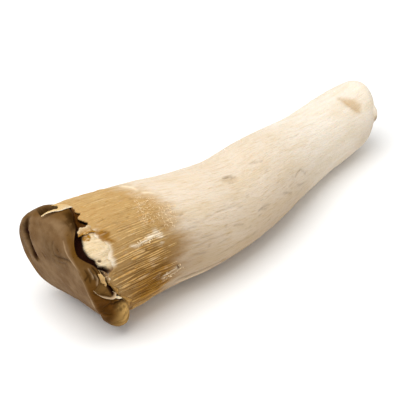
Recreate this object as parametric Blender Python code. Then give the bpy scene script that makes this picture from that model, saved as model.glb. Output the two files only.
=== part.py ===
"""A king oyster mushroom lying on its side, in one solid.

The cap end points to -X and the base of the stem to +X. The mushroom is a lofted skin: rings of
points run round a gently bowed spine, from the middle of the cap's face to the tip of the base.
Places are measured along the spine from the ring under the cap, so those on the cap are negative.
Round the spine the angle 0 faces -Y, 90 points straight up and -90 straight down.
Lengths are in millimetres and angles in degrees.
"""

import bmesh
import bpy
import numpy as np

MM = 0.001

# The stem: radius of its round cross-section and sideways bow of its spine, every STATION_GAP
# from the ring under the cap. The bottom is pressed flat by REST_FLAT, where the stem rests.
STATION_GAP = 20.0
STEM_RADII = (22.4, 21.2, 19.8, 18.2, 17.6, 16.1, 14.4, 14.0, 13.3)
STEM_BOW = (0.2, -2.8, -7.1, -8.3, -6.6, -3.8, -1.6, -0.3, 0.4)
REST_FLAT = 0.6
WAVE_DEPTH, WAVES_ROUND, WAVE_TWIST = 0.25, 3.0, 2.3

# The base: it lifts off the surface a little and swells into a knob on top.
LIFT_START, BASE_LIFT = 138.0, 1.5
BASE_START, BASE_END, BASE_ROUNDNESS, BASE_TILT = 147.0, 161.6, 2.4, 0.1
KNOB_PLACE, KNOB_LENGTH, KNOB_ANGLE, KNOB_SPREAD, KNOB_RISE = 159.0, 5.5, 80.0, 75.0, 4.4

# The origin is at the middle of the footprint, this far from the spine's ring under the cap.
RING_TO_MIDDLE_X, RING_TO_MIDDLE_Y = 70.2, -0.9

# Tables of (angle, value) round the cap: the place and reach of its corner, the place and depth
# of the dark gap behind it, and the places where the gills start, at a torn edge, and end.
CAP_CORNER = (
    (-90, -0.8), (-62, -3.8), (-40, -9.5), (-25, -14.0), (-13, -18.0), (10, -21.5), (30, -22.0),
    (46, -20.5), (62, -15.5), (80, -14.0), (100, -14.6), (135, -15.4), (165, -13.5), (190, -11.0),
    (215, -8.0), (240, -3.4),
)
CAP_REACH = (
    (-90, 19.8), (-62, 20.8), (-40, 22.8), (60, 22.8), (100, 22.8), (116, 22.9), (130, 24.0),
    (143, 24.8), (155, 24.2), (170, 23.6), (190, 24.2), (215, 23.8), (240, 21.4),
)
GAP_PLACE = (
    (-90, 2.6), (-62, 0.6), (-40, -1.0), (-20, -7.0), (0, -13.0), (16, -15.6), (28, -16.0),
    (40, -19.0), (52, -18.0), (64, -14.0), (74, -9.6), (90, -8.0), (112, -7.4), (140, -8.0),
    (165, -7.2), (190, -5.0), (215, -2.0), (240, 0.6),
)
GAP_DEPTH = (
    (-90, 0.6), (-62, 0.7), (-40, 0.5), (-20, 1.6), (0, 3.0), (16, 3.2), (30, 3.0), (45, 4.6),
    (60, 4.6), (74, 2.0), (90, 0.8), (112, 0.4), (135, 0.6), (160, 1.8), (180, 1.6), (215, 1.0),
    (240, 0.8),
)
GILL_START = (
    (-90, 4.4), (-62, 2.8), (-40, 1.0), (-20, -4.4), (-8, -9.0), (0, -12.0), (16, -13.8),
    (28, -10.5), (40, -8.6), (54, -9.0), (67, -10.0), (83, -7.2), (98, -5.8), (114, -5.6),
    (140, -6.0), (165, -5.0), (190, -2.8), (215, 0.2), (240, 2.8),
)
GILL_END = (
    (-60, 19.0), (-19, 16.0), (0, 23.0), (30, 26.0), (117, 25.0), (170, 23.0), (215, 21.0),
    (250, 22.0),
)
LEAST_MARGIN, LEAST_FLESH = 1.6, 1.0

# The torn edge's raggedness: (waves round the spine, height), and how they are turned.
TORN_WAVES = ((17, 0.5), (31, 0.35))
TORN_TURN = 40.0

# The cap's face: a shallow tilted dome with a rolled lip on its far side.
FACE_CENTRE, FACE_FLATNESS = -15.8, 0.6
LIP_ANGLE, LIP_SPREAD, LIP_SHARE, LIP_WIDTH, LIP_DEPTH = 192.0, 40.0, 0.82, 0.08, 1.6
CORNER_ROUND, CORNER_TURN = 1.6, 0.4

# The gap's walls stand nearly upright. The torn flesh beyond it climbs steeply at first.
GAP_LIP, GAP_FLOOR, GAP_WALL = 0.5, 0.35, 0.1
FLESH_SHARE, FLESH_CLIMB = 0.4, 0.75

# Relief of the cap's torn front: (angle, half width, height).
LOBE = (-40.0, 32.0, 3.8)
LOBE_LEAN = 2.4
POCKET = (14.0, 13.0, 3.2)
FLAP = (118.0, 26.0, 1.2)
FLESH = (50.0, 18.0, 0.9)

# The gills are ridges, larger than life, one to every two columns of points. They fade out over
# the last part of their length.
COLUMNS = 112
GILL_DEPTH, GILL_FADE = 0.7, 0.6

# Dents of the stem: (place, length, angle, half width, depth). The one at the base is slanted, and
# the nub beside it stands out instead.
CREASE = (43.0, 14.0, -26.0, 9.0, 0.9)
BRUISE = (56.5, 5.0, 63.0, 9.0, 0.7)
BASE_DENT = (147.0, 3.0, 62.0, 38.0, 1.5)
BASE_DENT_SLANT = -0.07
NUB = (156.8, 1.7, 14.0, 16.0, -1.8)

# Where the rings lie, as shares of the way across each stretch.
FACE_RINGS = (0.22, 0.42, 0.6, 0.73, 0.82, 0.9)
MARGIN_RINGS = (0.02, 0.16, 0.36, 0.58, 0.8, 0.95)
GILL_RINGS = np.linspace(0.06, 1.0, 9)
STEM_RINGS = np.linspace(0.08, 1.0, 13)
BASE_RINGS = (0.2, 0.38, 0.5, 0.56, 0.62, 0.68, 0.74, 0.81, 0.89, 0.96)


def clear_scene():
    """Empties the scene that Blender starts with."""
    for thing in list(bpy.data.objects):
        bpy.data.objects.remove(thing)


def material(name, colour, roughness):
    """A matt, non-metallic finish."""
    finish = bpy.data.materials.new(name)
    finish.use_nodes = True
    shader = finish.node_tree.nodes["Principled BSDF"]
    shader.inputs["Base Color"].default_value = (*colour, 1.0)
    shader.inputs["Roughness"].default_value = roughness
    shader.inputs["Metallic"].default_value = 0.0
    return finish


def ease(value, low, high):
    """0 below low, 1 above high, and a smooth step between them."""
    share = np.clip((value - low) / (high - low), 0.0, 1.0)
    return share * share * (3.0 - 2.0 * share)


def hump(angles, centre, half_width, height=1.0):
    """A smooth hump round the spine, which reaches its height at centre."""
    away = np.abs((angles - centre + 180.0) % 360.0 - 180.0)
    return height * (1.0 - ease(away, 0.0, half_width))


def bell(values, centre, width):
    """A bell curve of height 1."""
    return np.exp(-(((values - centre) / width) ** 2))


def from_table(table, angles):
    """Values at angles from a table of (angle, value), softened over a few degrees."""
    at, values = zip(*table)
    near = [np.interp(angles + step, at, values, period=360.0) for step in (-5, -2, 0, 2, 5)]
    return np.mean(near, axis=0)


def along_spine(values, place):
    """A smooth curve through values that stand STATION_GAP apart, level before the first."""
    padded = np.array((2 * values[0] - values[1], *values, 2 * values[-1] - values[-2]))
    step = np.clip(place / STATION_GAP, 0.0, len(values) - 1.001)
    index = np.floor(step).astype(int)
    share = step - index
    before, start, end, after = (padded[index + shift] for shift in range(4))
    return (
        (2 * share**3 - 3 * share**2 + 1) * start
        + (share**3 - 2 * share**2 + share) * (end - before) / 2
        + (3 * share**2 - 2 * share**3) * end
        + (share**3 - share**2) * (after - start) / 2
    )


def stem_radius(place):
    """Radius of the stem, rounded off over its base."""
    share = np.clip((place - BASE_START) / (BASE_END - BASE_START), 0.0, 1.0)
    rounding = (1.0 - share**BASE_ROUNDNESS) ** (1.0 / BASE_ROUNDNESS)
    return along_spine(STEM_RADII, place) * rounding


def spine(place):
    """Sideways place and height of the spine, which lies a radius high up to the lifted base."""
    on_cap = np.minimum(place, 0.0) * (STEM_BOW[1] - STEM_BOW[0]) / STATION_GAP
    lift = BASE_LIFT * ease(place, LIFT_START, BASE_END)
    return along_spine(STEM_BOW, place) + on_cap, along_spine(STEM_RADII, place) - REST_FLAT + lift


def face_rings(corner, reach, angles):
    """Rings of the cap's face, from near its middle out to its corner."""
    lip = hump(angles, LIP_ANGLE, LIP_SPREAD, LIP_DEPTH)
    rings = []
    for share in FACE_RINGS:
        slope = FACE_FLATNESS * share + (1.0 - FACE_FLATNESS) * share**3
        place = FACE_CENTRE + (corner - FACE_CENTRE) * slope
        rings.append((place + lip * bell(share, LIP_SHARE, LIP_WIDTH), reach * share))
    return rings


def margin_rings(corner, reach, gap, angles):
    """Rings over the cap's rounded corner and back along its torn side, as far as the gap."""
    rings = []
    for share in MARGIN_RINGS:
        across = np.sin(np.pi * share)
        relief = hump(angles, *LOBE) * across**0.5 + hump(angles, *FLAP) * share**2
        relief = relief - hump(angles, *POCKET) * across**2
        lean = hump(angles, *LOBE[:2], LOBE_LEAN) * (1.0 - share)
        place = corner + CORNER_TURN + (gap - GAP_LIP - corner - CORNER_TURN) * share - lean
        rings.append((place, reach - CORNER_ROUND * (1.0 - share) ** 4 + relief))
    return rings


def gap_rings(gap, depth, start, angles):
    """Rings down into the gap and up over the torn flesh to where the gills start."""
    top = stem_radius(0.0)
    floor = top - depth
    flesh = hump(angles, *FLESH)
    return [
        (gap - GAP_WALL, floor),
        (gap + GAP_FLOOR * np.minimum(start - gap, LEAST_FLESH), floor),
        (gap + FLESH_SHARE * (start - gap), floor + FLESH_CLIMB * depth + flesh),
        (start, top + FLESH_SHARE * flesh),
    ]


def gill_rings(start, end):
    """Rings along the gills, ridges that run down the stem and fade out into it."""
    ridge = np.where(np.arange(COLUMNS) % 2 == 0, 0.5, -0.5)
    rings = []
    for share in GILL_RINGS:
        place = start + (end - start) * share
        height = GILL_DEPTH * (1.0 - ease(share, GILL_FADE, 1.0))
        rings.append((place, stem_radius(place) + height * ridge))
    return rings


def dents(place, angles):
    """Depth of the stem's crease and bruise and of the dent across its base, less the nub."""
    depth = 0.0
    for centre, length, angle, half_width, deepest in (CREASE, BRUISE, BASE_DENT, NUB):
        slant = BASE_DENT_SLANT * (angles - angle) if centre == BASE_DENT[0] else 0.0
        depth = depth + hump(angles, angle, half_width, deepest) * bell(place, centre + slant, length)
    return depth


def stem_rings(start, angles):
    """Rings along the plain stem, gently waved, from the uneven end of the gills to the base."""
    rings = []
    for share in STEM_RINGS:
        place = start + (BASE_START - start) * share
        wave = WAVE_DEPTH * np.sin(np.radians(WAVES_ROUND * angles + WAVE_TWIST * place))
        rings.append((place, stem_radius(place) + wave * (1.0 - share) - dents(place, angles)))
    return rings


def base_rings(angles):
    """Rings that close the rounded base, with the knob on top."""
    knob = hump(angles, KNOB_ANGLE, KNOB_SPREAD, KNOB_RISE)
    rings = []
    for share in BASE_RINGS:
        place = BASE_START + (BASE_END - BASE_START) * share
        swell = knob * bell(place, KNOB_PLACE, KNOB_LENGTH)
        radius = stem_radius(place) + swell - dents(place, angles)
        tilt = BASE_TILT * radius * np.sin(np.radians(angles))
        rings.append((place + tilt * share, radius))
    return rings


def skin_rings(angles):
    """All rings of the skin in order, as (finish of the stretch after it, (place, radius))."""
    corner, reach = from_table(CAP_CORNER, angles), from_table(CAP_REACH, angles)
    gap = np.maximum(from_table(GAP_PLACE, angles), corner + LEAST_MARGIN)
    turns = [(height, np.radians(waves * angles + TORN_TURN)) for waves, height in TORN_WAVES]
    torn = sum(height * np.sin(turn) for height, turn in turns)
    start = np.maximum(from_table(GILL_START, angles) + torn, gap + LEAST_FLESH)
    end = from_table(GILL_END, angles)
    depth = from_table(GAP_DEPTH, angles)
    stretches = (
        ("cap", face_rings(corner, reach, angles) + margin_rings(corner, reach, gap, angles)),
        ("flesh", gap_rings(gap, depth, start, angles)),
        ("gills", gill_rings(start, end)),
        ("stem", stem_rings(end, angles) + base_rings(angles)),
    )
    return [(finish, ring) for finish, rings in stretches for ring in rings]


def skin_point(place, radius, angle):
    """A point of the skin in metres, no lower than the surface that the mushroom rests on."""
    side, height = spine(place)
    turn = np.radians(angle)
    across = side - radius * np.cos(turn)
    up = max(height + radius * np.sin(turn), 0.0)
    return ((place - RING_TO_MIDDLE_X) * MM, (across - RING_TO_MIDDLE_Y) * MM, up * MM)


def make_mushroom(finishes):
    """The whole fruit body, as one closed skin."""
    slots = {name: index for index, name in enumerate(finishes)}
    angles = np.arange(COLUMNS) * 360.0 / COLUMNS - 90.0
    shape = bmesh.new()
    rings = []
    for finish, ring in skin_rings(angles):
        points = [shape.verts.new(skin_point(*at)) for at in zip(*ring, angles)]
        rings.append((slots[finish], points))
    face_middle = shape.verts.new(skin_point(FACE_CENTRE, 0.0, 0.0))
    tip = shape.verts.new(skin_point(BASE_END, 0.0, 0.0))
    for column in range(COLUMNS):
        beside = (column + 1) % COLUMNS
        first, last = rings[0][1], rings[-1][1]
        shape.faces.new((face_middle, first[beside], first[column])).material_index = slots["cap"]
        shape.faces.new((tip, last[column], last[beside])).material_index = slots["stem"]
        for (slot, here), (_, there) in zip(rings, rings[1:]):
            face = shape.faces.new((here[column], here[beside], there[beside], there[column]))
            face.material_index = slot
    bmesh.ops.recalc_face_normals(shape, faces=shape.faces)
    bmesh.ops.triangulate(shape, faces=shape.faces)
    mesh = bpy.data.meshes.new("mushroom")
    for finish in finishes.values():
        mesh.materials.append(finish)
    shape.to_mesh(mesh)
    shape.free()
    mesh.shade_smooth()
    bpy.context.scene.collection.objects.link(bpy.data.objects.new("mushroom", mesh))


def main():
    clear_scene()
    make_mushroom(
        {
            "cap": material("cap skin", (0.19, 0.11, 0.05), 0.5),
            "flesh": material("torn flesh", (0.80, 0.63, 0.40), 0.8),
            "gills": material("gills", (0.55, 0.33, 0.13), 0.7),
            "stem": material("stem skin", (0.80, 0.68, 0.49), 0.6),
        }
    )


main()
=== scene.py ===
"""The looks of a king oyster mushroom that lies on its side.

The fruit body is dressed in fine skins that follow the same spine, tables and named sizes as its
solid: the brown cap, the torn flesh behind it and the stem with its gills. Places are measured
along the spine from the ring under the cap, so those on the cap are negative. Round the spine the
turn 0 faces -Y, 90 points straight up and -90 straight down. Lengths are in millimetres and turns
in degrees until a mesh is made.
"""

import logging
from collections.abc import Sequence
from dataclasses import dataclass
from enum import Enum

import bpy
import numpy as np
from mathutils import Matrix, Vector


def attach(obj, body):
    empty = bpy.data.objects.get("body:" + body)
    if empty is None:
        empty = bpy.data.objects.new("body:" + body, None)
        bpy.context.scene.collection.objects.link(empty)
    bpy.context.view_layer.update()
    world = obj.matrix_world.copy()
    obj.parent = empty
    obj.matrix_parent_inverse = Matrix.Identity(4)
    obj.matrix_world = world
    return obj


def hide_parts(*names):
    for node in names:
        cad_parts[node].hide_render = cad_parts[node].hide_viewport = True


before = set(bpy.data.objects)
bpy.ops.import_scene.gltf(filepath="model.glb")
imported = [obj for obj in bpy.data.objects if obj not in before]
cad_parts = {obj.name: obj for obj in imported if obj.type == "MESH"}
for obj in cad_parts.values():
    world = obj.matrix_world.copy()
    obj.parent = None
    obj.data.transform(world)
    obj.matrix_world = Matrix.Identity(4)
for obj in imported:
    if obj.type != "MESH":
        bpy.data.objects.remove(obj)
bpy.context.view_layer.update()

LOG = logging.getLogger("king_oyster")

MM = 0.001
BODY = "root"
NODE = "mushroom"

Array = np.ndarray
Table = tuple[tuple[float, float], ...]
Pair = tuple[float, float]
Point = tuple[float, float, float]


class Slot(Enum):
    """The record's material slots."""

    CAP = "cap_skin"
    FLESH = "torn_flesh"
    GILLS = "gills"
    STEM = "stem_skin"


class Mask(Enum):
    """What a finish can show at a point of a skin, as an attribute from 0 to 1."""

    # Dark marks, streaks and spots; where noted below it is painted shade in grooves, folds and hollows,
    # under torn edges and between the gills.
    GROOVE = "groove"
    # Pale colour; where noted below it is a painted highlight.
    LIGHT = "light"
    # Darker brown; where noted below it is partly painted shade, towards the stem's underside and low end, on
    # dark flesh and near the cap's gap.
    BAND = "band"
    # Painted shade: in the cap's gap, in cracks and hollows and under overhanging edges.
    PAINTED_SHADE = "deep"
    GOLD = "gold"
    TAN = "tan"
    FIBRE = "fibre"


Masks = dict[Mask, Array]


def ease(value: Array | float, low: float, high: float) -> Array:
    """Steps smoothly from 0 below low to 1 above high."""
    share = np.clip((value - low) / (high - low), 0.0, 1.0)
    return share * share * (3.0 - 2.0 * share)


def bell(values: Array, centre: float, width: float) -> Array:
    """Gives a bell curve of height 1 round a centre."""
    return np.exp(-(((values - centre) / width) ** 2))


def from_table(table: Table, turns: Array) -> Array:
    """Reads a table of (turn, value), softened over a few degrees.

    Args:
        table: Pairs of turn and value in rising order.
        turns: Turns to read it at.

    Returns:
        The values.
    """
    at, values = zip(*table)
    near = [np.interp(turns + step, at, values, period=360.0) for step in (-5, -2, 0, 2, 5)]
    return np.mean(near, axis=0)


def show(masks: Masks, mask: Mask, values: Array) -> None:
    """Makes a mask show at least these values."""
    masks[mask] = np.maximum(masks[mask], values)


@dataclass(frozen=True)
class Hump:
    """A smooth hump round the spine.

    Attributes:
        centre: Turn at which it is highest.
        half_width: Turn on either side at which it ends.
        height: Its greatest height.
    """

    centre: float
    half_width: float
    height: float = 1.0

    def at(self, turns: Array) -> Array:
        """Gives its height at each turn."""
        away = np.abs((turns - self.centre + 180.0) % 360.0 - 180.0)
        return self.height * (1.0 - ease(away, 0.0, self.half_width))


@dataclass(frozen=True)
class Noise:
    """Smooth unevenness that closes round the spine.

    Attributes:
        length: Size of a patch along the spine.
        cells: Number of patches round the spine.
        seed: Fixes the draw.
        height: How far it goes up and down.
        fine: Finer layers it is made of, as (times finer, share of the height).
    """

    length: float
    cells: int
    seed: int
    height: float = 1.0
    fine: tuple[tuple[int, float], ...] = ()

    def at(self, along: Array | float, turns: Array) -> Array:
        """Draws it, as smooth steps between random values on a grid.

        Args:
            along: Places along the spine.
            turns: Turns round it.

        Returns:
            The unevenness at each point.
        """
        if self.fine:
            layers = (
                Noise(self.length / finer, self.cells * finer, self.seed + finer, share).at(along, turns)
                for finer, share in self.fine
            )
            return self.height * sum(layers)
        cells = self.cells
        grid = np.random.default_rng(self.seed).uniform(-1.0, 1.0, (257, cells))
        first, second = np.broadcast_arrays(along / self.length + 128.0, (turns / 360.0 % 1.0) * cells)
        row, column = np.floor(first).astype(int), np.floor(second).astype(int)
        up, over = first - row, second - column
        up, over = up * up * (3.0 - 2.0 * up), over * over * (3.0 - 2.0 * over)
        row, column, beside = row % 256, column % cells, (column + 1) % cells
        here = grid[row, column] * (1 - over) + grid[row, beside] * over
        there = grid[row + 1, column] * (1 - over) + grid[row + 1, beside] * over
        return self.height * (here * (1 - up) + there * up)


LAYERED = ((1, 0.55), (2, 0.28), (4, 0.17))
# Unevenness of torn outlines, in patches of about a millimetre.
RAGGED = Noise(1.6, 90, 71, fine=LAYERED)
RAGGED_SPREAD = 2.6


def ragged(first: Array, second: Array) -> Array:
    """Gives the unevenness of torn outlines at points of a chart."""
    return RAGGED.at(first, second * RAGGED_SPREAD)


def between(share: Array | float, start: Array, end: Array, leaving: Array, arriving: Array) -> Array:
    """Reads a smooth curve that runs from a start to an end with given slopes there.

    Args:
        share: Share of the way at which to read it.
        start: Value at the start.
        end: Value at the end.
        leaving: Slope at the start.
        arriving: Slope at the end.

    Returns:
        The value there.
    """
    square, cube = share**2, share**3
    ends = (2 * cube - 3 * square + 1) * start + (3 * square - 2 * cube) * end
    return ends + (cube - 2 * square + share) * leaving + (cube - square) * arriving


def smooth_line(values: Array, at: Array) -> Array:
    """Reads a smooth line through evenly spaced values.

    Args:
        values: The values or points that it passes through.
        at: Where to read it, counted in values from the first.

    Returns:
        The value or point at each place, level beyond the ends.
    """
    padded = np.concatenate((2 * values[:1] - values[1:2], values, 2 * values[-1:] - values[-2:-1]))
    at = np.clip(at, 0.0, len(values) - 1.001)
    index = np.floor(at).astype(int)
    share = np.reshape(at - index, np.shape(index) + (1,) * (values.ndim - 1))
    before, start, end, after = (padded[index + shift] for shift in range(4))
    return between(share, start, end, (end - before) / 2, (after - start) / 2)


def through(rings: Sequence[tuple[Array, Array]], counts: Sequence[int]) -> tuple[Array, Array]:
    """Draws a smooth profile through rings and reads finer rings off it.

    Args:
        rings: Rings in order, as (place, reach) at each column.
        counts: Number of rings to read in each stretch between two of them.

    Returns:
        Places and reaches, a row for each new ring.
    """
    knots = np.array([np.broadcast_arrays(place, reach) for place, reach in rings])
    steps = np.hypot(*np.moveaxis(np.diff(knots, axis=0), 1, 0)).mean(axis=1)
    gaps = np.maximum(steps, 0.05)
    slopes = np.diff(knots, axis=0) / gaps[:, None, None]
    before, after = gaps[:-1, None, None], gaps[1:, None, None]
    inner = (slopes[:-1] * after + slopes[1:] * before) / (before + after)
    tangents = np.concatenate((slopes[:1], inner, slopes[-1:]))
    rows = [
        between(share, *knots[at : at + 2], *(gap * tangents[at : at + 2]))
        for at, (gap, count) in enumerate(zip(gaps, counts))
        for share in np.arange(count) / count
    ]
    both = np.array([*rows, knots[-1]])
    return both[:, 0], both[:, 1]


def distance(path: Array, first: Array, second: Array) -> tuple[Array, Array]:
    """Measures how far points are from a line of straight pieces.

    Args:
        path: Points of the line.
        first: First length of each point.
        second: Second length of each point.

    Returns:
        The distance, and the share of the line that lies before the nearest spot.
    """
    best = np.full(np.shape(first), np.inf)
    travelled = np.zeros_like(best)
    lengths = np.hypot(*np.diff(path, axis=0).T)
    start = 0.0
    for (x0, y0), (x1, y1), length in zip(path[:-1], path[1:], lengths):
        along = ((first - x0) * (x1 - x0) + (second - y0) * (y1 - y0)) / length**2
        share = np.clip(along, 0.0, 1.0)
        away = np.hypot(first - x0 - share * (x1 - x0), second - y0 - share * (y1 - y0))
        closer = away < best
        best = np.where(closer, away, best)
        travelled = np.where(closer, start + share * length, travelled)
        start += length
    return best, travelled / start


@dataclass(frozen=True)
class Stroke:
    """A line that dents, raises or tints a skin.

    Attributes:
        path: Points of the line, in the two lengths of the chart it is drawn on.
        width: Half width of the line.
        depth: How deep it dents the skin; negative stands proud.
        tint: How strongly it tints the skin.
        mask: What it tints the skin with.
        sharp: 1 for a soft bell, more for a flatter line with steeper sides.
        rough: How ragged its sides are.
    """

    path: Table
    width: float
    depth: float = 0.0
    tint: float = 0.0
    mask: Mask = Mask.GROOVE
    sharp: float = 1.0
    rough: float = 0.3

    def strength(self, first: Array, second: Array) -> Array:
        """Says how strongly the line shows at points of its chart.

        Args:
            first: First length of each point.
            second: Second length of each point.

        Returns:
            0 away from the line to 1 on it, less towards its ends.
        """
        away, share = distance(np.array(self.path), first, second)
        taper = ease(share, -0.12, 0.18) * (1.0 - ease(share, 0.82, 1.12))
        width = self.width * (0.45 + 0.55 * taper) * (1.0 + self.rough * ragged(first, second))
        return np.exp(-((away / width) ** (2.0 * self.sharp))) * (0.35 + 0.65 * taper)


@dataclass(frozen=True)
class Patch:
    """An area that dents, raises or tints a skin.

    Attributes:
        outline: Its corners, in the two lengths of the chart it is drawn on.
        soft: Width over which it fades at its outline.
        depth: How deep it dents the skin; negative stands proud.
        tint: How strongly it tints the skin.
        mask: What it tints the skin with.
        rough: How far its outline strays.
    """

    outline: Table
    soft: float
    depth: float = 0.0
    tint: float = 0.0
    mask: Mask = Mask.GROOVE
    rough: float = 0.4

    def strength(self, first: Array, second: Array) -> Array:
        """Says how strongly the area shows at points of its chart.

        Args:
            first: First length of each point.
            second: Second length of each point.

        Returns:
            1 inside the outline to 0 outside it.
        """
        corners = np.array((*self.outline, self.outline[0]))
        away, _ = distance(corners, first, second)
        inside = np.zeros(np.shape(first), dtype=bool)
        for (x0, y0), (x1, y1) in zip(corners[:-1], corners[1:]):
            if y0 != y1:
                spans = (y0 > second) != (y1 > second)
                inside ^= spans & (first < x0 + (second - y0) * (x1 - x0) / (y1 - y0))
        signed = np.where(inside, -away, away) + self.rough * ragged(first, second)
        return 1.0 - ease(signed, -self.soft, self.soft)


Marks = tuple[Stroke | Patch, ...]


def draw(marks: Marks, first: Array, second: Array, where: Array | float, masks: Masks) -> Array:
    """Draws marks on a skin.

    Args:
        marks: The strokes and patches.
        first: First length of each point of the skin.
        second: Second length of each point.
        where: How much of them shows at each point.
        masks: The skin's masks, which take their tints.

    Returns:
        How deep the marks dent the skin.
    """
    dent = np.zeros(np.shape(first))
    for mark in marks:
        strength = mark.strength(first, second) * where
        dent += mark.depth * strength
        show(masks, mark.mask, strength * mark.tint)
    return dent


@dataclass(frozen=True)
class StemLine:
    """The bowed spine and the stem's round cross-section along it."""

    station_gap: float = 20.0
    radii: tuple[float, ...] = (22.4, 21.2, 19.8, 18.2, 17.6, 16.1, 14.4, 14.0, 13.3)
    bow: tuple[float, ...] = (0.2, -2.8, -7.1, -8.3, -6.6, -3.8, -1.6, -0.3, 0.4)
    rest_flat: float = 0.6
    lift_start: float = 138.0
    base_lift: float = 1.5
    base_start: float = 147.0
    base_end: float = 161.6
    base_roundness: float = 2.4
    to_middle: tuple[float, float] = (70.2, -0.9)

    def along(self, values: tuple[float, ...], place: Array) -> Array:
        """Draws a smooth curve through values at the stations, level before the first."""
        return smooth_line(np.array(values), place / self.station_gap)

    def over_base(self, place: Array) -> Array:
        """Says how far over the rounded base a place lies, from 0 to 1."""
        return np.clip((place - self.base_start) / (self.base_end - self.base_start), 0.0, 1.0)

    def rounding(self, place: Array) -> Array:
        """Says how much of the radius is left over the rounded base, from 1 down to 0."""
        return (1.0 - self.over_base(place) ** self.base_roundness) ** (1.0 / self.base_roundness)

    def radius(self, place: Array) -> Array:
        """Gives the stem's radius."""
        return self.along(self.radii, place) * self.rounding(place)

    def points(self, place: Array, reach: Array, turns: Array, floor: float = 0.0) -> Array:
        """Places points in metres, none lower than the surface that the mushroom rests on.

        Args:
            place: Places along the spine.
            reach: Distances from the spine.
            turns: Turns round the spine.
            floor: Least height above that surface.

        Returns:
            Points with their three coordinates on the last axis.
        """
        place, reach, turns = np.broadcast_arrays(place, reach, turns)
        on_cap = np.minimum(place, 0.0) * (self.bow[1] - self.bow[0]) / self.station_gap
        side = self.along(self.bow, place) + on_cap
        lift = self.base_lift * ease(place, self.lift_start, self.base_end)
        height = self.along(self.radii, place) - self.rest_flat + lift
        angle = np.radians(turns)
        across = side - reach * np.cos(angle) - self.to_middle[1]
        up = np.maximum(height + reach * np.sin(angle), floor)
        return np.stack((place - self.to_middle[0], across, up), axis=-1) * MM


LINE = StemLine()
CHART_RADIUS = 22.0


def arc(turns: Array | float, radius: float = CHART_RADIUS) -> Array:
    """Gives the length round the spine at a radius."""
    return np.radians(turns) * radius


@dataclass
class Skin:
    """A fine closed skin of rows that are wound round.

    Attributes:
        name: Its name.
        places: Place of each point along the spine, a row of points at a time.
        reaches: Distance of each point from the spine.
        turns: Turn of each point round the spine.
        poles: The points that close the first and the last row, as (place, reach, turn).
        masks: What the finish shows at each point.
        flat: Whether its patterns lie in plain space and not along the stem.
    """

    name: str
    places: Array
    reaches: Array
    turns: Array
    poles: tuple[Point, Point]
    masks: Masks
    flat: bool = False

    def build(self) -> bpy.types.Object:
        """Makes the mesh with its attributes.

        Returns:
            The piece, whose place is in its mesh.
        """
        rows, columns = self.places.shape
        body = LINE.points(self.places, self.reaches, self.turns).reshape(-1, 3)
        ends = np.array([LINE.points(*(np.array(part) for part in pole)) for pole in self.poles])
        points = np.concatenate((body, ends))
        index = np.arange(rows * columns).reshape(rows, columns)
        beside = np.roll(index, -1, axis=1)
        quads = np.stack((index[:-1], index[1:], beside[1:], beside[:-1]), axis=-1).reshape(-1, 4)
        first, last = (np.full(columns, rows * columns + end) for end in (0, 1))
        near_end = np.stack((first, index[0], beside[0]), axis=-1)
        far_end = np.stack((last, beside[-1], index[-1]), axis=-1)
        caps = np.concatenate((near_end, far_end))
        if self.volume(points, quads, caps) < 0.0:
            quads, caps = quads[:, ::-1], caps[:, ::-1]
        mesh = bpy.data.meshes.new(self.name)
        mesh.from_pydata(points.tolist(), [], quads.tolist() + caps.tolist())
        mesh.validate()
        mesh.shade_smooth()
        turns = np.broadcast_to(self.turns, self.places.shape)
        lay = body / MM if self.flat else lay_of(self.places, self.reaches, turns).reshape(-1, 3)
        add_values(mesh, "lay", np.concatenate((lay, lay[:1], lay[-1:])))
        for mask in Mask:
            values = np.broadcast_to(self.masks.get(mask, 0.0), self.places.shape)
            values = np.clip(values, 0.0, 1.0).reshape(-1)
            add_values(mesh, mask.value, np.concatenate((values, values[:1], values[-1:])))
        return put_in_scene(self.name, mesh)

    def volume(self, points: Array, quads: Array, caps: Array) -> float:
        """Adds up the volume inside the faces, which is negative when they face inwards.

        Args:
            points: The points of the mesh.
            quads: Its faces with four corners.
            caps: Its faces with three corners.

        Returns:
            Six times the volume.
        """
        corners = np.concatenate((quads[:, :3], quads[:, [0, 2, 3]], caps))
        one, two, three = (points[corners[:, at]] for at in range(3))
        return float(np.einsum("ij,ij->", one, np.cross(two, three)))


def lay_of(places: Array, reaches: Array, turns: Array) -> Array:
    """Lays a skin out on a straight round-ended bar, so that patterns follow the bowed spine.

    Args:
        places: Places along the spine.
        reaches: Distances from it.
        turns: Turns round it.

    Returns:
        A point of the bar for each point of the skin.
    """
    angle = np.radians(turns + 0.25 * places)
    radius = CHART_RADIUS * np.minimum(1.05 * reaches / LINE.along(LINE.radii, places), 1.0)
    return np.stack((places, radius * np.cos(angle), radius * np.sin(angle)), axis=-1)


def add_values(mesh: bpy.types.Mesh, name: str, values: Array) -> None:
    """Stores a number or a vector at each point of a mesh.

    Args:
        mesh: The mesh.
        name: Name of the attribute.
        values: The numbers, or vectors in rows.
    """
    kind, item = ("FLOAT_VECTOR", "vector") if values.ndim == 2 else ("FLOAT", "value")
    layer = mesh.attributes.new(name, kind, "POINT")
    layer.data.foreach_set(item, values.astype(np.float32).reshape(-1))


def put_in_scene(name: str, data: bpy.types.ID) -> bpy.types.Object:
    """Links a mesh, a lamp or a camera to the scene as an object.

    Args:
        name: Name of the object.
        data: What it shows.

    Returns:
        The object, at the origin.
    """
    piece = bpy.data.objects.new(name, data)
    bpy.context.scene.collection.objects.link(piece)
    return piece


def ring_turns(columns: int) -> Array:
    """Gives the turn of each column, starting on the underside."""
    return np.arange(columns) * 360.0 / columns - 90.0


def no_tints(shape: tuple[int, ...]) -> Masks:
    """Gives a skin's masks with nothing on them."""
    return {mask: np.zeros(shape) for mask in Mask}


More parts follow.
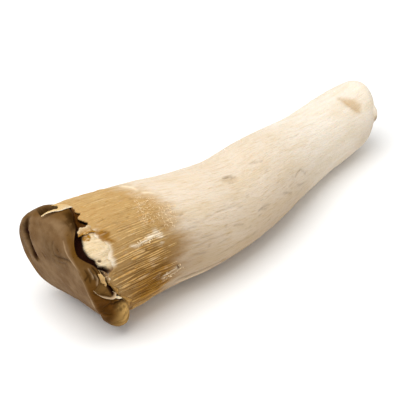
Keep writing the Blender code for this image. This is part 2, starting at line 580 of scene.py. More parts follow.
def fit_on(piece: bpy.types.Object, finish: bpy.types.Material) -> None:
    """Dresses a finished piece and hands it to the frame.

    Args:
        piece: The piece, at the origin.
        finish: Its material.
    """
    piece.data.materials.clear()
    piece.data.materials.append(finish)
    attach(piece, BODY)
    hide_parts(NODE)
    LOG.info("%s: %d faces", piece.name, len(piece.data.polygons))


def linear(colour: str) -> tuple[float, float, float, float]:
    """Turns an sRGB hex colour to linear light.

    Args:
        colour: Six hex digits after a hash sign.

    Returns:
        Red, green, blue and an alpha of 1.
    """
    parts = [int(colour[at : at + 2], 16) / 255.0 for at in (1, 3, 5)]
    red, green, blue = (p / 12.92 if p <= 0.04045 else ((p + 0.055) / 1.055) ** 2.4 for p in parts)
    return red, green, blue, 1.0


def add_node(tree: bpy.types.NodeTree, kind: str, links: dict | None = None, **settings) -> bpy.types.Node:
    """Adds a node with its settings, values and links.

    Args:
        tree: Tree that it goes in.
        kind: Its type.
        links: What goes into each input, by name or number: an output socket, a node for its
            first output, or a plain value.
        settings: Properties of the node.

    Returns:
        The node.
    """
    node = tree.nodes.new(kind)
    for name, value in settings.items():
        setattr(node, name, value)
    for key, value in (links or {}).items():
        source = value.outputs[0] if isinstance(value, bpy.types.Node) else value
        if isinstance(source, bpy.types.NodeSocket):
            tree.links.new(source, node.inputs[key])
        else:
            node.inputs[key].default_value = source
    return node


def new_finish(name: str, values: dict[str, object]) -> bpy.types.Material:
    """Starts a material.

    Args:
        name: Its name.
        values: A value for each of its shader's inputs that is even all over.

    Returns:
        The material.
    """
    finish = bpy.data.materials.new(name)
    finish.use_nodes = True
    for socket, value in values.items():
        finish.node_tree.nodes["Principled BSDF"].inputs[socket].default_value = value
    return finish


MIX_FACTOR, MIX_A, MIX_B, MIX_COLOUR = 0, 6, 7, 2


@dataclass(frozen=True)
class Grain:
    """A noise pattern that lies along the skin.

    Attributes:
        along: Length of its patches along the spine.
        across: Their width round it.
        detail: Number of finer layers.
        low: Noise value at which it starts to show.
        high: Noise value at which it shows in full.
    """

    along: float
    across: float
    detail: float
    low: float = 0.3
    high: float = 0.7

    def add(self, tree: bpy.types.NodeTree) -> bpy.types.Node:
        """Adds the pattern to a material.

        Args:
            tree: The material's node tree.

        Returns:
            The node that gives the pattern's strength, from 0 to 1.
        """
        lay = add_node(tree, "ShaderNodeAttribute", attribute_name="lay")
        scale = (1.0 / self.along, 1.0 / self.across, 1.0 / self.across)
        mapping = add_node(tree, "ShaderNodeMapping", {"Vector": lay.outputs["Vector"], "Scale": scale})
        links = {"Vector": mapping, "Scale": 1.0, "Detail": self.detail, "Roughness": 0.55}
        noise = add_node(tree, "ShaderNodeTexNoise", links)
        links = {"Value": noise, "From Min": self.low, "From Max": self.high}
        return add_node(tree, "ShaderNodeMapRange", links, interpolation_type="SMOOTHSTEP")


@dataclass(frozen=True)
class Layer:
    """A colour that is laid over those below it.

    Attributes:
        colour: sRGB hex colour.
        mask: Attribute that says where it lies, or None for everywhere.
        grain: Pattern that breaks it up, or None.
        amount: How much of it shows at most.
    """

    colour: str
    mask: Mask | None = None
    grain: Grain | None = None
    amount: float = 1.0

    def strength(self, tree: bpy.types.NodeTree) -> bpy.types.Node | float:
        """Works out where it shows.

        Args:
            tree: The material's node tree.

        Returns:
            A node that gives its strength, or a plain number.
        """
        parts = []
        if self.mask is not None:
            values = add_node(tree, "ShaderNodeAttribute", attribute_name=self.mask.value)
            parts.append(values.outputs["Fac"])
        if self.grain is not None:
            parts.append(self.grain.add(tree))
        whole, *others = *parts, self.amount
        for part in others:
            whole = add_node(tree, "ShaderNodeMath", {0: whole, 1: part}, operation="MULTIPLY")
        return whole


@dataclass(frozen=True)
class SkinFinish:
    """A matt natural surface of several colours with a fine relief.

    Attributes:
        name: What the real surface is.
        base: sRGB hex colour of the bare surface.
        layers: Colours laid over it in order.
        relief: Patterns that stand out of the surface, each with its height.
        roughness: Roughness of the surface.
        softness: How much light goes in and comes out nearby.
        gloss: How strongly it reflects.
        glow: How far red, green and blue light go inside, as shares of the reach.
        glow_reach: How far red light goes inside.
    """

    name: str
    base: str
    layers: tuple[Layer, ...]
    relief: tuple[tuple[Grain, float], ...]
    roughness: float
    softness: float = 0.0
    gloss: float = 0.25
    glow: Point = (1.0, 0.65, 0.4)
    glow_reach: float = 1.5

    def make(self) -> bpy.types.Material:
        """Builds the material.

        Returns:
            The material.
        """
        values = {"Roughness": self.roughness, "Metallic": 0.0, "IOR": 1.4, "Specular IOR Level": self.gloss}
        if self.softness:
            values |= {"Subsurface Weight": self.softness, "Subsurface Radius": self.glow}
            values["Subsurface Scale"] = self.glow_reach * MM
        finish = new_finish(self.name, values)
        tree = finish.node_tree
        shader = tree.nodes["Principled BSDF"]
        colour = linear(self.base)
        for layer in self.layers:
            links = {MIX_FACTOR: layer.strength(tree), MIX_A: colour, MIX_B: linear(layer.colour)}
            colour = add_node(tree, "ShaderNodeMix", links, data_type="RGBA").outputs[MIX_COLOUR]
        tree.links.new(colour, shader.inputs["Base Color"])
        below = {}
        for grain, height in self.relief:
            links = {"Height": grain.add(tree), "Distance": height * MM} | below
            below = {"Normal": add_node(tree, "ShaderNodeBump", links).outputs["Normal"]}
        for normal in below.values():
            tree.links.new(normal, shader.inputs["Normal"])
        return finish


# Dried, satin cap skin: brown with a pinkish grey bloom in broad soft patches.
CAP_SKIN = SkinFinish(
    name="satin brown cap skin",
    base="#6e5132",
    layers=(
        Layer("#836849", grain=Grain(9.0, 7.0, 2.0)),
        Layer("#63472a", grain=Grain(4.0, 3.0, 3.0, 0.45, 0.75), amount=0.6),
        # Darker band and margin; near the gap it is painted shade, and on the pocket lip's inner edge partly
        # so.
        Layer("#5e3e10", Mask.BAND),
        Layer("#2c1806", Mask.BAND, Grain(0.8, 0.7, 2.0, 0.6, 0.72), 0.6),
        Layer("#592d04", Mask.TAN),
        Layer("#d0a662", Mask.GOLD, amount=0.95),
        # Pale lines; the pale fold stripes are painted highlights, and the pocket lip's edge is partly one.
        Layer("#dcc09a", Mask.LIGHT),
        # Dark marks and spots; in the lip's groove, the top hollow, the folds and along the top of the gap it
        # is painted shade.
        Layer("#2e1900", Mask.GROOVE),
        # Painted shade in the gap, in cracks and in hollows.
        Layer("#250d04", Mask.PAINTED_SHADE),
    ),
    relief=((Grain(1.6, 1.3, 3.0), 0.08), (Grain(0.35, 0.35, 2.0), 0.03)),
    roughness=0.55,
    gloss=0.03,
)

# Torn flesh: off-white, dry and fibrous along the stem, and darker brown away from the white patch, which is
# partly painted shade.
TORN_FLESH = SkinFinish(
    name="fibrous torn flesh",
    base="#ead2ab",
    layers=(
        Layer("#e3c695", grain=Grain(3.5, 0.6, 3.0, 0.42, 0.7), amount=0.6),
        Layer("#deb679", Mask.TAN),
        Layer("#a3711f", Mask.GOLD, Grain(1.6, 1.2, 3.0, 0.2, 0.5)),
        # Dark brown flesh away from the white patch, partly painted shade.
        Layer("#6b3f0d", Mask.BAND, amount=0.95),
        # Pale fibres and torn edges; the glint by the crack is a painted highlight, and the top flap's edge
        # is partly one.
        Layer("#f4dfbf", Mask.LIGHT),
        # Dark marks; under the gills' torn edge at the top it is painted shade.
        Layer("#4a2905", Mask.GROOVE),
        # Painted shade in the gap and up its riser.
        Layer("#250d04", Mask.PAINTED_SHADE),
    ),
    relief=((Grain(3.0, 0.4, 3.0), 0.2),),
    roughness=0.8,
    softness=0.15,
    gloss=0.06,
)

# Stem skin: matt cream with fine lengthwise fibrils and tan where the gills run down, with painted shade
# between the gills and towards the underside.
STEM_SKIN = SkinFinish(
    name="matt fibrous stem skin",
    base="#f6ebdb",
    layers=(
        Layer("#eddec5", grain=Grain(16.0, 5.0, 3.0, 0.35, 0.7), amount=0.8),
        Layer("#d6bf98", Mask.FIBRE, Grain(5.0, 0.5, 4.0, 0.48, 0.7), 0.6),
        Layer("#c6a067", Mask.TAN),
        Layer("#a5753a", Mask.TAN, Grain(2.2, 0.5, 2.0, 0.5, 0.72), 0.45),
        Layer("#96640e", Mask.GOLD, amount=0.92),
        # Painted shade towards the underside and the low end; also a browner patch near the gills and a tint
        # on the nub.
        Layer("#876535", Mask.BAND),
        Layer("#fde8c6", Mask.LIGHT),
        # Dark streaks, dashes and bruises; along the torn edge, between the gills and in the furrows' troughs
        # it is painted shade.
        Layer("#553510", Mask.GROOVE),
        # Painted shade.
        Layer("#1d0d04", Mask.PAINTED_SHADE),
    ),
    relief=((Grain(8.0, 0.5, 3.0), 0.06), (Grain(2.2, 0.8, 3.0), 0.1)),
    roughness=0.62,
    softness=0.15,
    gloss=0.1,
)

# Gills: thin tan ridges.
GILL_RIDGE = SkinFinish(
    name="matt tan gills",
    base="#f4e7d2",
    layers=(
        Layer("#d2ad74", Mask.TAN),
        Layer("#b88843", Mask.TAN, Grain(2.4, 1.0, 2.0, 0.45, 0.7), 0.7),
        Layer("#9e6c12", Mask.GOLD, amount=0.92),
        Layer("#ffefd6", Mask.LIGHT),
        # Dark streaks and darker gills; in the furrows' troughs it is painted shade.
        Layer("#61401a", Mask.GROOVE),
    ),
    relief=(),
    roughness=0.6,
    softness=0.1,
    gloss=0.1,
)

# Dried fibres that stand off the skin: pale and slightly shiny.
PALE_FIBRE = SkinFinish(
    name="pale dried fibre",
    base="#ffe9c2",
    layers=(Layer("#f3d7a4", grain=Grain(3.0, 3.0, 1.0)),),
    relief=(),
    roughness=0.45,
)

FINISHES = {Slot.CAP: CAP_SKIN, Slot.FLESH: TORN_FLESH, Slot.STEM: STEM_SKIN, Slot.GILLS: GILL_RIDGE}


@dataclass
class Cap:
    """The cap: a shallow tilted face with a rolled lip, and its torn front margin.

    Its tables give, at turns round the spine, the place of the corner between face and margin, that
    corner's reach, and the place and the depth of the gap behind the margin.
    """

    columns: int = 520
    corner: Table = (
        (-90, -0.8), (-62, -3.8), (-40, -9.5), (-25, -14), (-13, -18), (10, -21.5), (30, -22.2),
        (46, -21.8), (54, -20.2), (62, -17.4), (70, -15.4), (80, -14.2), (100, -14.6), (135, -15.4),
        (165, -13.5), (190, -11), (215, -8), (240, -3.4),
    )
    reach: Table = (
        (-90, 19.8), (-62, 20.8), (-40, 22.8), (60, 22.8), (100, 22.8), (116, 22.8), (130, 23.7),
        (143, 24.2), (155, 23.6), (170, 23.1), (190, 23.8), (215, 23.8), (240, 21.4),
    )
    gap: Table = (
        (-90, 2.6), (-62, 0.6), (-40, -1), (-22, -4.6), (-14, -6.2), (-7, -10), (5, -11.9), (13, -13.6),
        (19, -14.2), (27, -14.9), (33, -15.8), (38, -18), (43, -20.2), (50, -19.8), (56, -18.4),
        (61, -16.8), (67, -14), (71, -12.3), (75, -11.6), (80, -10.5), (84, -9.5), (88, -8.3), (95, -7),
        (112, -6.6), (140, -7.6), (165, -7.2), (190, -5), (215, -2), (240, 0.6),
    )
    gap_depth: Table = (
        (-90, 0.5), (-62, 0.4), (-40, 0.1), (-22, 0.1), (-14, 0.6), (-7, 2.4), (19, 2.5), (30, 2.3),
        (40, 2.1), (50, 2.3), (60, 3), (67, 3), (74, 2.8), (84, 2), (92, 1), (112, 0.5), (135, 0.6),
        (160, 1.8), (180, 1.6), (215, 1), (240, 0.7),
    )
    least_margin: float = 1.1
    face_centre: float = -15.8
    inner_centre: float = -8.0
    lip: Hump = Hump(192, 40, 1.6)
    lip_bell: Pair = (0.82, 0.08)
    corner_round: float = 1.6
    corner_turn: float = 0.4
    gap_lip: float = 0.4
    gap_wall: float = 0.1
    inside: Pair = (0.6, 1.4)
    lobe: Hump = Hump(-40, 32, 3.8)
    lobe_lean: Hump = Hump(-40, 32, 2.4)
    flap: Hump = Hump(118, 26, 0.15)
    sag: Hump = Hump(80, 16, 1.1)
    face_shares: tuple[float, ...] = (0.02, 0.22, 0.42, 0.6, 0.73, 0.82, 0.9)
    margin_shares: tuple[float, ...] = (0.02, 0.16, 0.36, 0.58, 0.8, 0.95)
    counts: tuple[int, ...] = (14, 14, 12, 9, 7, 7, 6, 5, 8, 9, 9, 8, 7, 4)
    face_waves: Noise = Noise(7, 9, 11, 0.16, LAYERED)
    margin_waves: Noise = Noise(3, 44, 12, 0.16, LAYERED)
    lobe_ripples: Noise = Noise(9, 150, 13, 0.12)
    rippled: Hump = Hump(-30, 60)
    mottling: Noise = Noise(2.2, 80, 15, 1, LAYERED)
    mottled: Hump = Hump(-25, 55, 0.5)
    reddish: Hump = Hump(-10, 40, 0.45)
    golden: Hump = Hump(-25, 27)
    gold_streaks: Noise = Noise(6, 150, 14, 0.3)
    dark_lobe: Hump = Hump(-12, 70, 0.5)
    dark_and_shaded_corners: tuple[Hump, Hump] = (Hump(82, 26), Hump(52, 20))
    shadow: Pair = (0.3, 1.6)
    lit_gap: Hump = Hump(84, 18)
    # The line across the face where its darker band begins, as (across, up).
    rim: Table = (
        (-19.6, 9.4), (-16.2, 13.2), (-13.4, 14.4), (-9.4, 15.3), (-6.6, 17.2), (-5.0, 19.0), (-2.0, 24.0),
    )
    # Drawn on the face, in lengths across it and up it from the spine.
    face_marks: Marks = (
        # The groove inside the rolled lip, dented and darkened: partly brown skin, partly painted shade; its
        # black spots are painted shade.
        Stroke(((13.6, 18.6), (14.6, 14.5), (14.4, 10.5), (14, 6.4), (13.1, 3.4), (11.6, 0.8)), 1.9, 1.6,
            0.6, Mask.GROOVE, 1.4),
        Stroke(((14.4, 17), (15.3, 12.4), (15, 8.6), (14.2, 4.8), (13.3, 1.8), (12.1, -0.6)), 1.1, 0, 1,
            Mask.GROOVE, 1.2),
        Stroke(((15.3, 11.6), (15.1, 9.4)), 1, 0, 1, Mask.PAINTED_SHADE),
        Stroke(((14.4, 5.2), (13.6, 2.6), (12.6, 0.2)), 0.9, 0, 0.85, Mask.PAINTED_SHADE),
        Patch(((3.5, 15), (-4, 14.5), (-10.5, 11.5), (-5, 5.5), (4, 5.5)), 3.5, 0, 0.3),
        Stroke(((18.8, 13), (19.4, 8), (18.4, 1)), 2.2, 0, 0.24),
        Stroke(((-1.6, 14.8), (-1, 13.2), (-1.2, 11.4), (-2, 9.8), (-3.2, 9)), 0.45, 0.35, 0.5),
        Stroke(((-3.6, 12.8), (-4.8, 12.2)), 0.55, 0.35, 0.6),
        Stroke(((-1.2, 9), (-4.6, 9.8), (-7.6, 11.2), (-11.2, 12.6), (-13.4, 13)), 0.6, 0.5, 0.6),
        Stroke(((-2.6, 7.4), (-6.6, 8.6), (-10.1, 10.6)), 0.6, 0.3, 0.35),
        Stroke(((5.8, 6.8), (4.6, 4.2)), 0.5, 0.25, 0.4),
        Stroke(((-6.6, 17.2), (-9.4, 15.3), (-13.4, 14.4), (-16.2, 13.2), (-18.8, 11.2), (-19.7, 8.4)),
            0.35, -0.25, 0.3, Mask.LIGHT),
        Stroke(((-19.5, 8.4), (-20.6, 4.6), (-20.8, 0), (-19.6, -5)), 0.6, -0.1, 0.25, Mask.LIGHT),
    )
    # Drawn on the margin, in lengths along the spine and round it.
    margin_marks: Marks = (
        # The hollow under the top flap, dented and darkened as painted shade.
        Patch(((-11.9, 47), (-9.4, 48.4), (-8.6, 44.6), (-9, 39.9), (-11, 38.6), (-13.4, 41), (-14.2, 43)),
            0.35, 3, 0.85, rough=0.3),
        # A dark strip along the top of the gap: painted shade under the gills' torn edge.
        Stroke(((-14.8, 26), (-13.2, 28), (-12.2, 29.8), (-11.2, 31.4), (-10, 33.2), (-8.8, 34.6)), 1.5,
            0.1, 0.9, rough=1),
        Stroke(((-17, -2.6), (-15, -5.6), (-13, -8)), 1.7, 0.1, 0.5, rough=0.9),
        # Painted shade deepest in that hollow.
        Patch(((-13.2, 42.4), (-11, 39.4), (-10, 40.4), (-12.2, 44.2)), 0.6, 0, 0.6, Mask.PAINTED_SHADE, rough=0.4),
        Patch(((-19, 3.6), (-16.2, 6.6), (-14.2, 5.4), (-11.9, 2), (-10.4, -1.5), (-11.2, -3.2),
            (-14.4, -1.2), (-16.3, 0.6)), 0.6, 1.6, 0.19, Mask.GOLD, rough=0.5),
        Stroke(((-16, 1.2), (-14, -0.2), (-12, -1.8)), 0.4, 0.3, 0.5),
        # Stripes of the folded margin: the dark ones are partly painted shade in the folds, the pale ones
        # painted highlights.
        Stroke(((-20, 12.4), (-19.4, 10), (-19.6, 7.4)), 0.4, 0.3, 0.6),
        Stroke(((-18.7, 12), (-17.8, 9.2), (-17.6, 7.4)), 0.35, 0.3, 0.65),
        Stroke(((-17.5, 12.4), (-16.6, 10.2), (-16.5, 7.6)), 0.35, 0.35, 0.8),
        Stroke(((-19, 12.4), (-18.4, 10.4), (-18.6, 8.6)), 0.35, -0.3, 0.3, Mask.LIGHT),
        Stroke(((-17.8, 9.8), (-17.2, 8), (-18, 6)), 0.35, -0.3, 0.3, Mask.LIGHT),
        Stroke(((-15.4, -6.8), (-13.8, -8), (-12, -8.2)), 0.35, 0.3, 0.7),
        Stroke(((-13.2, -3.4), (-12, -4), (-10.8, -4.4)), 0.5, 0.3, 0.8),
        # Painted shade in a crack.
        Stroke(((-11.4, -3.9), (-8.8, -4.4), (-6, -4.9), (-5.2, -5.2)), 0.35, 0.8, 1, Mask.PAINTED_SHADE),
        Stroke(((-14.8, 33.2), (-13.4, 30.8), (-14, 28.2)), 0.8, 0.25, 0.5),
        Stroke(((-16.5, -6.6), (-15.6, -6.2), (-14.9, -5.5)), 0.4, 0.2, 0.75),
        Stroke(((-15.6, -4.7), (-14.2, -3.6), (-12.8, -2.8)), 0.55, 0.2, 0.7),
        Stroke(((-13.4, -7.6), (-12.8, -9.2), (-12.1, -10.8)), 0.8, 0.15, 0.4),
        Stroke(((-10.6, -11.8), (-8.8, -11.3), (-7, -11.4)), 0.3, 0.15, 0.45),
        Stroke(((-11.4, -13), (-9.4, -12.4), (-7.8, -12.8)), 0.3, 0.15, 0.35),
        Stroke(((-7.8, -6.4), (-7, -7.8)), 0.45, 0.15, 0.4),
        Stroke(((-21.2, 9), (-20.4, 9.6), (-19.4, 10.4)), 0.45, 0.2, 0.65),
    )

    def shape(self, turns: Array) -> tuple[Array, Array, Array, Array]:
        """Reads the tables.

        Args:
            turns: Turns round the spine.

        Returns:
            The corner, its reach, and the gap's place and depth at each turn.
        """
        corner, gap = from_table(self.corner, turns), from_table(self.gap, turns)
        gap = np.maximum(gap, corner + self.least_margin)
        return corner, from_table(self.reach, turns), gap, from_table(self.gap_depth, turns)

    def rings(self, turns: Array) -> list[tuple[Array, Array]]:
        """Lists the rings that the cap's profile passes through.

        Args:
            turns: Turn of each column, evenly round the whole spine.

        Returns:
            Rings as (place, reach), from the face's middle to inside the gap.
        """
        corner, reach, gap, depth = self.shape(turns)
        waves = (np.cos(np.radians(turns)), np.sin(np.radians(turns)))
        plane = sum(2.0 * (corner * wave).mean() * wave for wave in waves)
        rest = corner - plane - self.face_centre
        rings = []
        for share in self.face_shares:
            place = self.face_centre + plane * share + rest * (0.5 * share**2 + 0.5 * share**4)
            rings.append((place + self.lip.at(turns) * bell(share, *self.lip_bell), reach * share))
        start = corner + self.corner_turn
        for share in self.margin_shares:
            relief = self.lobe.at(turns) * np.sin(np.pi * share) ** 0.5
            relief = relief + (self.flap.at(turns) - self.sag.at(turns)) * share**2
            lean = self.lobe_lean.at(turns) * (1.0 - share)
            place = start + (gap - self.gap_lip - start) * share - lean
            rings.append((place, reach - self.corner_round * (1.0 - share) ** 4 + relief))
        floor = LINE.radii[0] - depth
        further, lower = self.inside
        return [*rings, (gap - self.gap_wall, floor), (gap + further, floor - lower)]

    def skin(self) -> Skin:
        """Shapes and tints the cap.

        Returns:
            The cap's skin.
        """
        turns = ring_turns(self.columns)
        places, reaches = through(self.rings(turns), self.counts)
        rows = np.arange(len(places))[:, None]
        face_rows = sum(self.counts[: len(self.face_shares)])
        margin_rows = sum(self.counts[:-2])
        on_face = 1.0 - ease(rows, face_rows - 6.0, face_rows + 4.0)
        on_margin = (1.0 - on_face) * (1.0 - ease(rows, margin_rows - 1.0, margin_rows + 5.0))
        masks = no_tints(places.shape)
        across, up = -reaches * np.cos(np.radians(turns)), reaches * np.sin(np.radians(turns))
        inward = draw(self.face_marks, across, up, on_face, masks)
        inward += self.face_waves.at(across, up * 6.0 + 180.0) * on_face
        outward = -draw(self.margin_marks, places, arc(turns), on_margin, masks)
        outward += self.margin_waves.at(places, turns) * on_margin
        outward += self.lobe_ripples.at(places, turns) * on_margin * self.rippled.at(turns)
        masks[Mask.BAND] = self.band(across, up) * on_face + self.margin_band(places, turns) * on_margin
        streaks = 0.85 + self.gold_streaks.at(places, turns)
        show(masks, Mask.GOLD, self.golden.at(turns) * ease(places, -13.0, -6.0) * streaks * on_margin)
        spots = ease(self.mottling.at(places, turns), 0.06, 0.46)
        show(masks, Mask.GROOVE, spots * self.mottled.at(turns) * on_margin)
        show(masks, Mask.TAN, self.reddish.at(turns) * on_margin * (1.0 - ease(places, -12.0, -8.0)))
        in_gap = ease(rows, margin_rows - 5.0, margin_rows + 2.0)
        # Painted shade deep in the gap.
        show(masks, Mask.PAINTED_SHADE, self.shade(turns, 0.75) * in_gap)
        poles = (self.face_centre, 0.0, 90.0), (self.inner_centre, 0.0, 90.0)
        return Skin("cap", places + inward, reaches + outward, turns, poles, masks, True)

    def band(self, across: Array, up: Array) -> Array:
        """Says how strongly the face shows its darker band, which lies outside the rim line."""
        above = up - np.interp(across, *zip(*self.rim))
        return (0.6 + 0.4 * ease(above, 0.0, 5.0)) * ease(above, 0.0, 3.4)

    def margin_band(self, places: Array, turns: Array) -> Array:
        """Says how dark the margin is: darker on the lobe, and near the gap with painted shade."""
        top, side = (corner.at(turns) for corner in self.dark_and_shaded_corners)
        return 0.5 + self.dark_lobe.at(turns) + 0.5 * (ease(places, -15.0, -8.5) * top + side)

    def shade(self, turns: Array, lit: float) -> Array:
        """Says how dark the gap is: dark where it is deep, less where light falls in."""
        return ease(from_table(self.gap_depth, turns), *self.shadow) * (1.0 - lit * self.lit_gap.at(turns))


# The golden stain that lies over the torn edge, on the flesh and on the stem.
STAIN = Patch(
    ((-9.9, 22.8), (-7.8, 23.2), (-4.6, 20.7), (-5.4, 18.8), (-4.6, 16.3), (-9, 18.6), (-8.9, 20.9),
     (-10.6, 22)), 0.6, 0, 0.95, Mask.GOLD, rough=0.8,
)
STAIN_DOT = Stroke(((-6.3, 21.3), (-5.5, 20.9)), 0.4, 0.1, 0.8)


@dataclass
class TornFlesh:
    """The flesh that the torn margin bares, between the gap and the edge of the gills.

    Its tables give, at turns round the spine, the place of the torn edge, how far behind the gap the
    flesh rises, and the share of the gap's depth that it climbs.
    """

    cap: Cap
    columns: int = 520
    edge: Table = (
        (-90, 4.4), (-62, 2.8), (-40, 0.4), (-22, -3.4), (-13, -5.2), (-7, -8.8), (5, -10.8), (13, -12.4),
        (19, -11.4), (28, -10.2), (38, -8.6), (46, -8.8), (54, -9.4), (61, -9.6), (67, -9.4), (73, -9.2),
        (76, -8.8), (82, -8.1), (86, -7.4), (96, -5.8), (114, -5.6), (140, -6), (165, -5), (190, -2.8),
        (215, 0.2), (240, 2.8),
    )
    rise: Table = (
        (-90, 0.3), (-22, 0.2), (-7, 0.7), (19, 0.9), (33, 1.4), (38, 2.7), (43, 4), (50, 3.8), (56, 3.6),
        (61, 3.2), (67, 1.9), (75, 0.5), (90, 0.4), (240, 0.3),
    )
    climb: Table = (
        (-90, 0.8), (-20, 0.8), (-7, 0.7), (12, 0.75), (28, 0.9), (60, 0.9), (67, 0.55), (71, 0.25),
        (88, 0.3), (98, 0.8), (240, 0.8),
    )
    torn_waves: Table = ((17, 0.4), (31, 0.3))
    torn_turn: float = 40.0
    tears: Noise = Noise(1, 96, 21, 0.5)
    fine_tears: Noise = Noise(1, 210, 22, 0.3)
    top_tears: Noise = Noise(1, 72, 25, 0.6)
    torn_top: Hump = Hump(80, 22)
    least: float = 0.9
    bulge: Hump = Hump(48, 20, 0.7)
    white: Hump = Hump(42.5, 26)
    uneven_rise: Noise = Noise(1, 80, 26, 0.35)
    fibres: Noise = Noise(5, 170, 23)
    lumps: Noise = Noise(2.4, 60, 24, 0.3, LAYERED)
    golden: Hump = Hump(-8, 40)
    overhang_shade: Hump = Hump(80, 19, 1.3)
    counts: tuple[int, ...] = (3, 4, 8, 8, 12, 20, 5, 3)
    centres: Pair = (-9.0, 5.0)
    # Drawn in lengths along the spine and round it.
    marks: Marks = (
        # Painted shadow under the lower edge of the white flesh.
        Patch(((-14.8, 11.6), (-13.2, 10.9), (-12, 10.4), (-11.1, 8.6), (-11.6, 7.5), (-12.8, 8.8),
            (-14.4, 10.2)), 0.35, 1.8, 1, Mask.PAINTED_SHADE, rough=0.3),
        STAIN,
        Patch(((-12.8, 24.2), (-11.2, 23.4), (-11.5, 21.4), (-13.2, 20.4), (-14.4, 21.4)), 0.4, 0, 1.2,
            Mask.GOLD, rough=0.6),
        STAIN_DOT,
        Stroke(((-7.8, 21), (-7.1, 20.8)), 0.35, 0.1, 0.7),
        Stroke(((-12.2, 23.9), (-11.7, 23.7)), 0.4, 0.3, 0.9),
        Stroke(((-13.9, 13.2), (-13, 12.7)), 0.45, 0.5, 0.95),
        # A painted glint by the crack.
        Stroke(((-11.6, 7.6), (-12.2, 6), (-11.4, 4.4)), 0.4, -0.2, 0.9, Mask.LIGHT),
    )

    def gill_edge(self, turns: Array) -> Array:
        """Gives the place of the torn edge where the gills start, ragged on three scales.

        Args:
            turns: Turns round the spine.

        Returns:
            Its place at each turn, always behind the gap.
        """
        waves = (
            height * np.sin(np.radians(count * turns + self.torn_turn)) for count, height in self.torn_waves
        )
        fine = self.tears.at(0.0, turns) + self.fine_tears.at(0.0, turns)
        fine += self.torn_top.at(turns) * self.top_tears.at(0.0, turns)
        least = self.cap.shape(turns)[2] + self.least
        return np.maximum(from_table(self.edge, turns) + sum(waves) + fine, least)

    def whiteness(self, turns: Array) -> Array:
        """Says at which turns the flesh is fresh and white."""
        return ease(self.white.at(turns), 0.08, 0.4)

    def rings(self, turns: Array) -> list[tuple[Array, Array]]:
        """Lists the rings that the flesh's profile passes through.

        Args:
            turns: Turn of each column.

        Returns:
            Rings as (place, reach), from inside the gap to under the gills.
        """
        _, _, gap, depth = self.cap.shape(turns)
        edge, top, bulge = self.gill_edge(turns), LINE.radii[0], self.bulge.at(turns)
        rise = from_table(self.rise, turns) + self.uneven_rise.at(0.0, turns) * self.whiteness(turns)
        foot = gap + np.minimum(rise, 0.6 * (edge - gap))
        rest, floor = edge - foot, top - depth
        climb = from_table(self.climb, turns) * depth
        full = floor + climb
        return [
            (gap - 0.9, floor - 1.6),
            (gap - 0.3, floor - 0.1),
            (0.5 * (gap + foot), floor),
            (foot, floor + 0.1 * climb),
            (foot + 0.08 * rest, floor + 0.75 * climb + 0.5 * bulge),
            (foot + 0.4 * rest, full + bulge),
            (edge - 0.2, np.minimum(full + 0.1 * depth, top - 0.2) + 0.4 * bulge),
            (edge + 1.2, full - 0.8),
            (edge + 2.2, full - 3.0),
        ]

    def skin(self) -> Skin:
        """Shapes and tints the flesh.

        Returns:
            The flesh's skin.
        """
        turns = ring_turns(self.columns)
        places, reaches = through(self.rings(turns), self.counts)
        rows = np.arange(len(places))[:, None]
        open_rows = ease(rows, 14.0, 22.0)
        bare = open_rows * (1.0 - ease(rows, sum(self.counts[:6]) + 1.0, sum(self.counts[:7])))
        masks = no_tints(places.shape)
        fibres, white = self.fibres.at(places, turns), self.whiteness(turns)
        reaches = reaches + bare * (0.2 * fibres + self.lumps.at(places, turns))
        reaches = reaches - bare * draw(self.marks, places, arc(turns), open_rows, masks)
        # Away from the white patch the flesh is darkened brown, partly painted shade.
        dark = 1.0 - white
        golden = ease(self.golden.at(turns), 0.05, 0.5)
        show(masks, Mask.BAND, dark * (1.0 - 0.85 * golden))
        show(masks, Mask.TAN, golden * dark)
        show(masks, Mask.GOLD, 0.6 * golden * dark)
        # Painted shade under the gills' overhanging edge at the top.
        show(masks, Mask.GROOVE, self.overhang_shade.at(turns) * dark)
        stained = np.clip(masks[Mask.GOLD], 0.0, 1.0)
        show(masks, Mask.LIGHT, 0.6 * white * ease(fibres, 0.0, 0.8) * bare * (1.0 - stained))
        # Painted shade in the gap, up its riser.
        show(masks, Mask.PAINTED_SHADE, self.cap.shade(turns, 0.7) * (1.0 - ease(rows, 16.5, 20.5)))
        poles = tuple((centre, 0.0, 90.0) for centre in self.centres)
        return Skin("torn_flesh", places, reaches, turns, poles, masks)


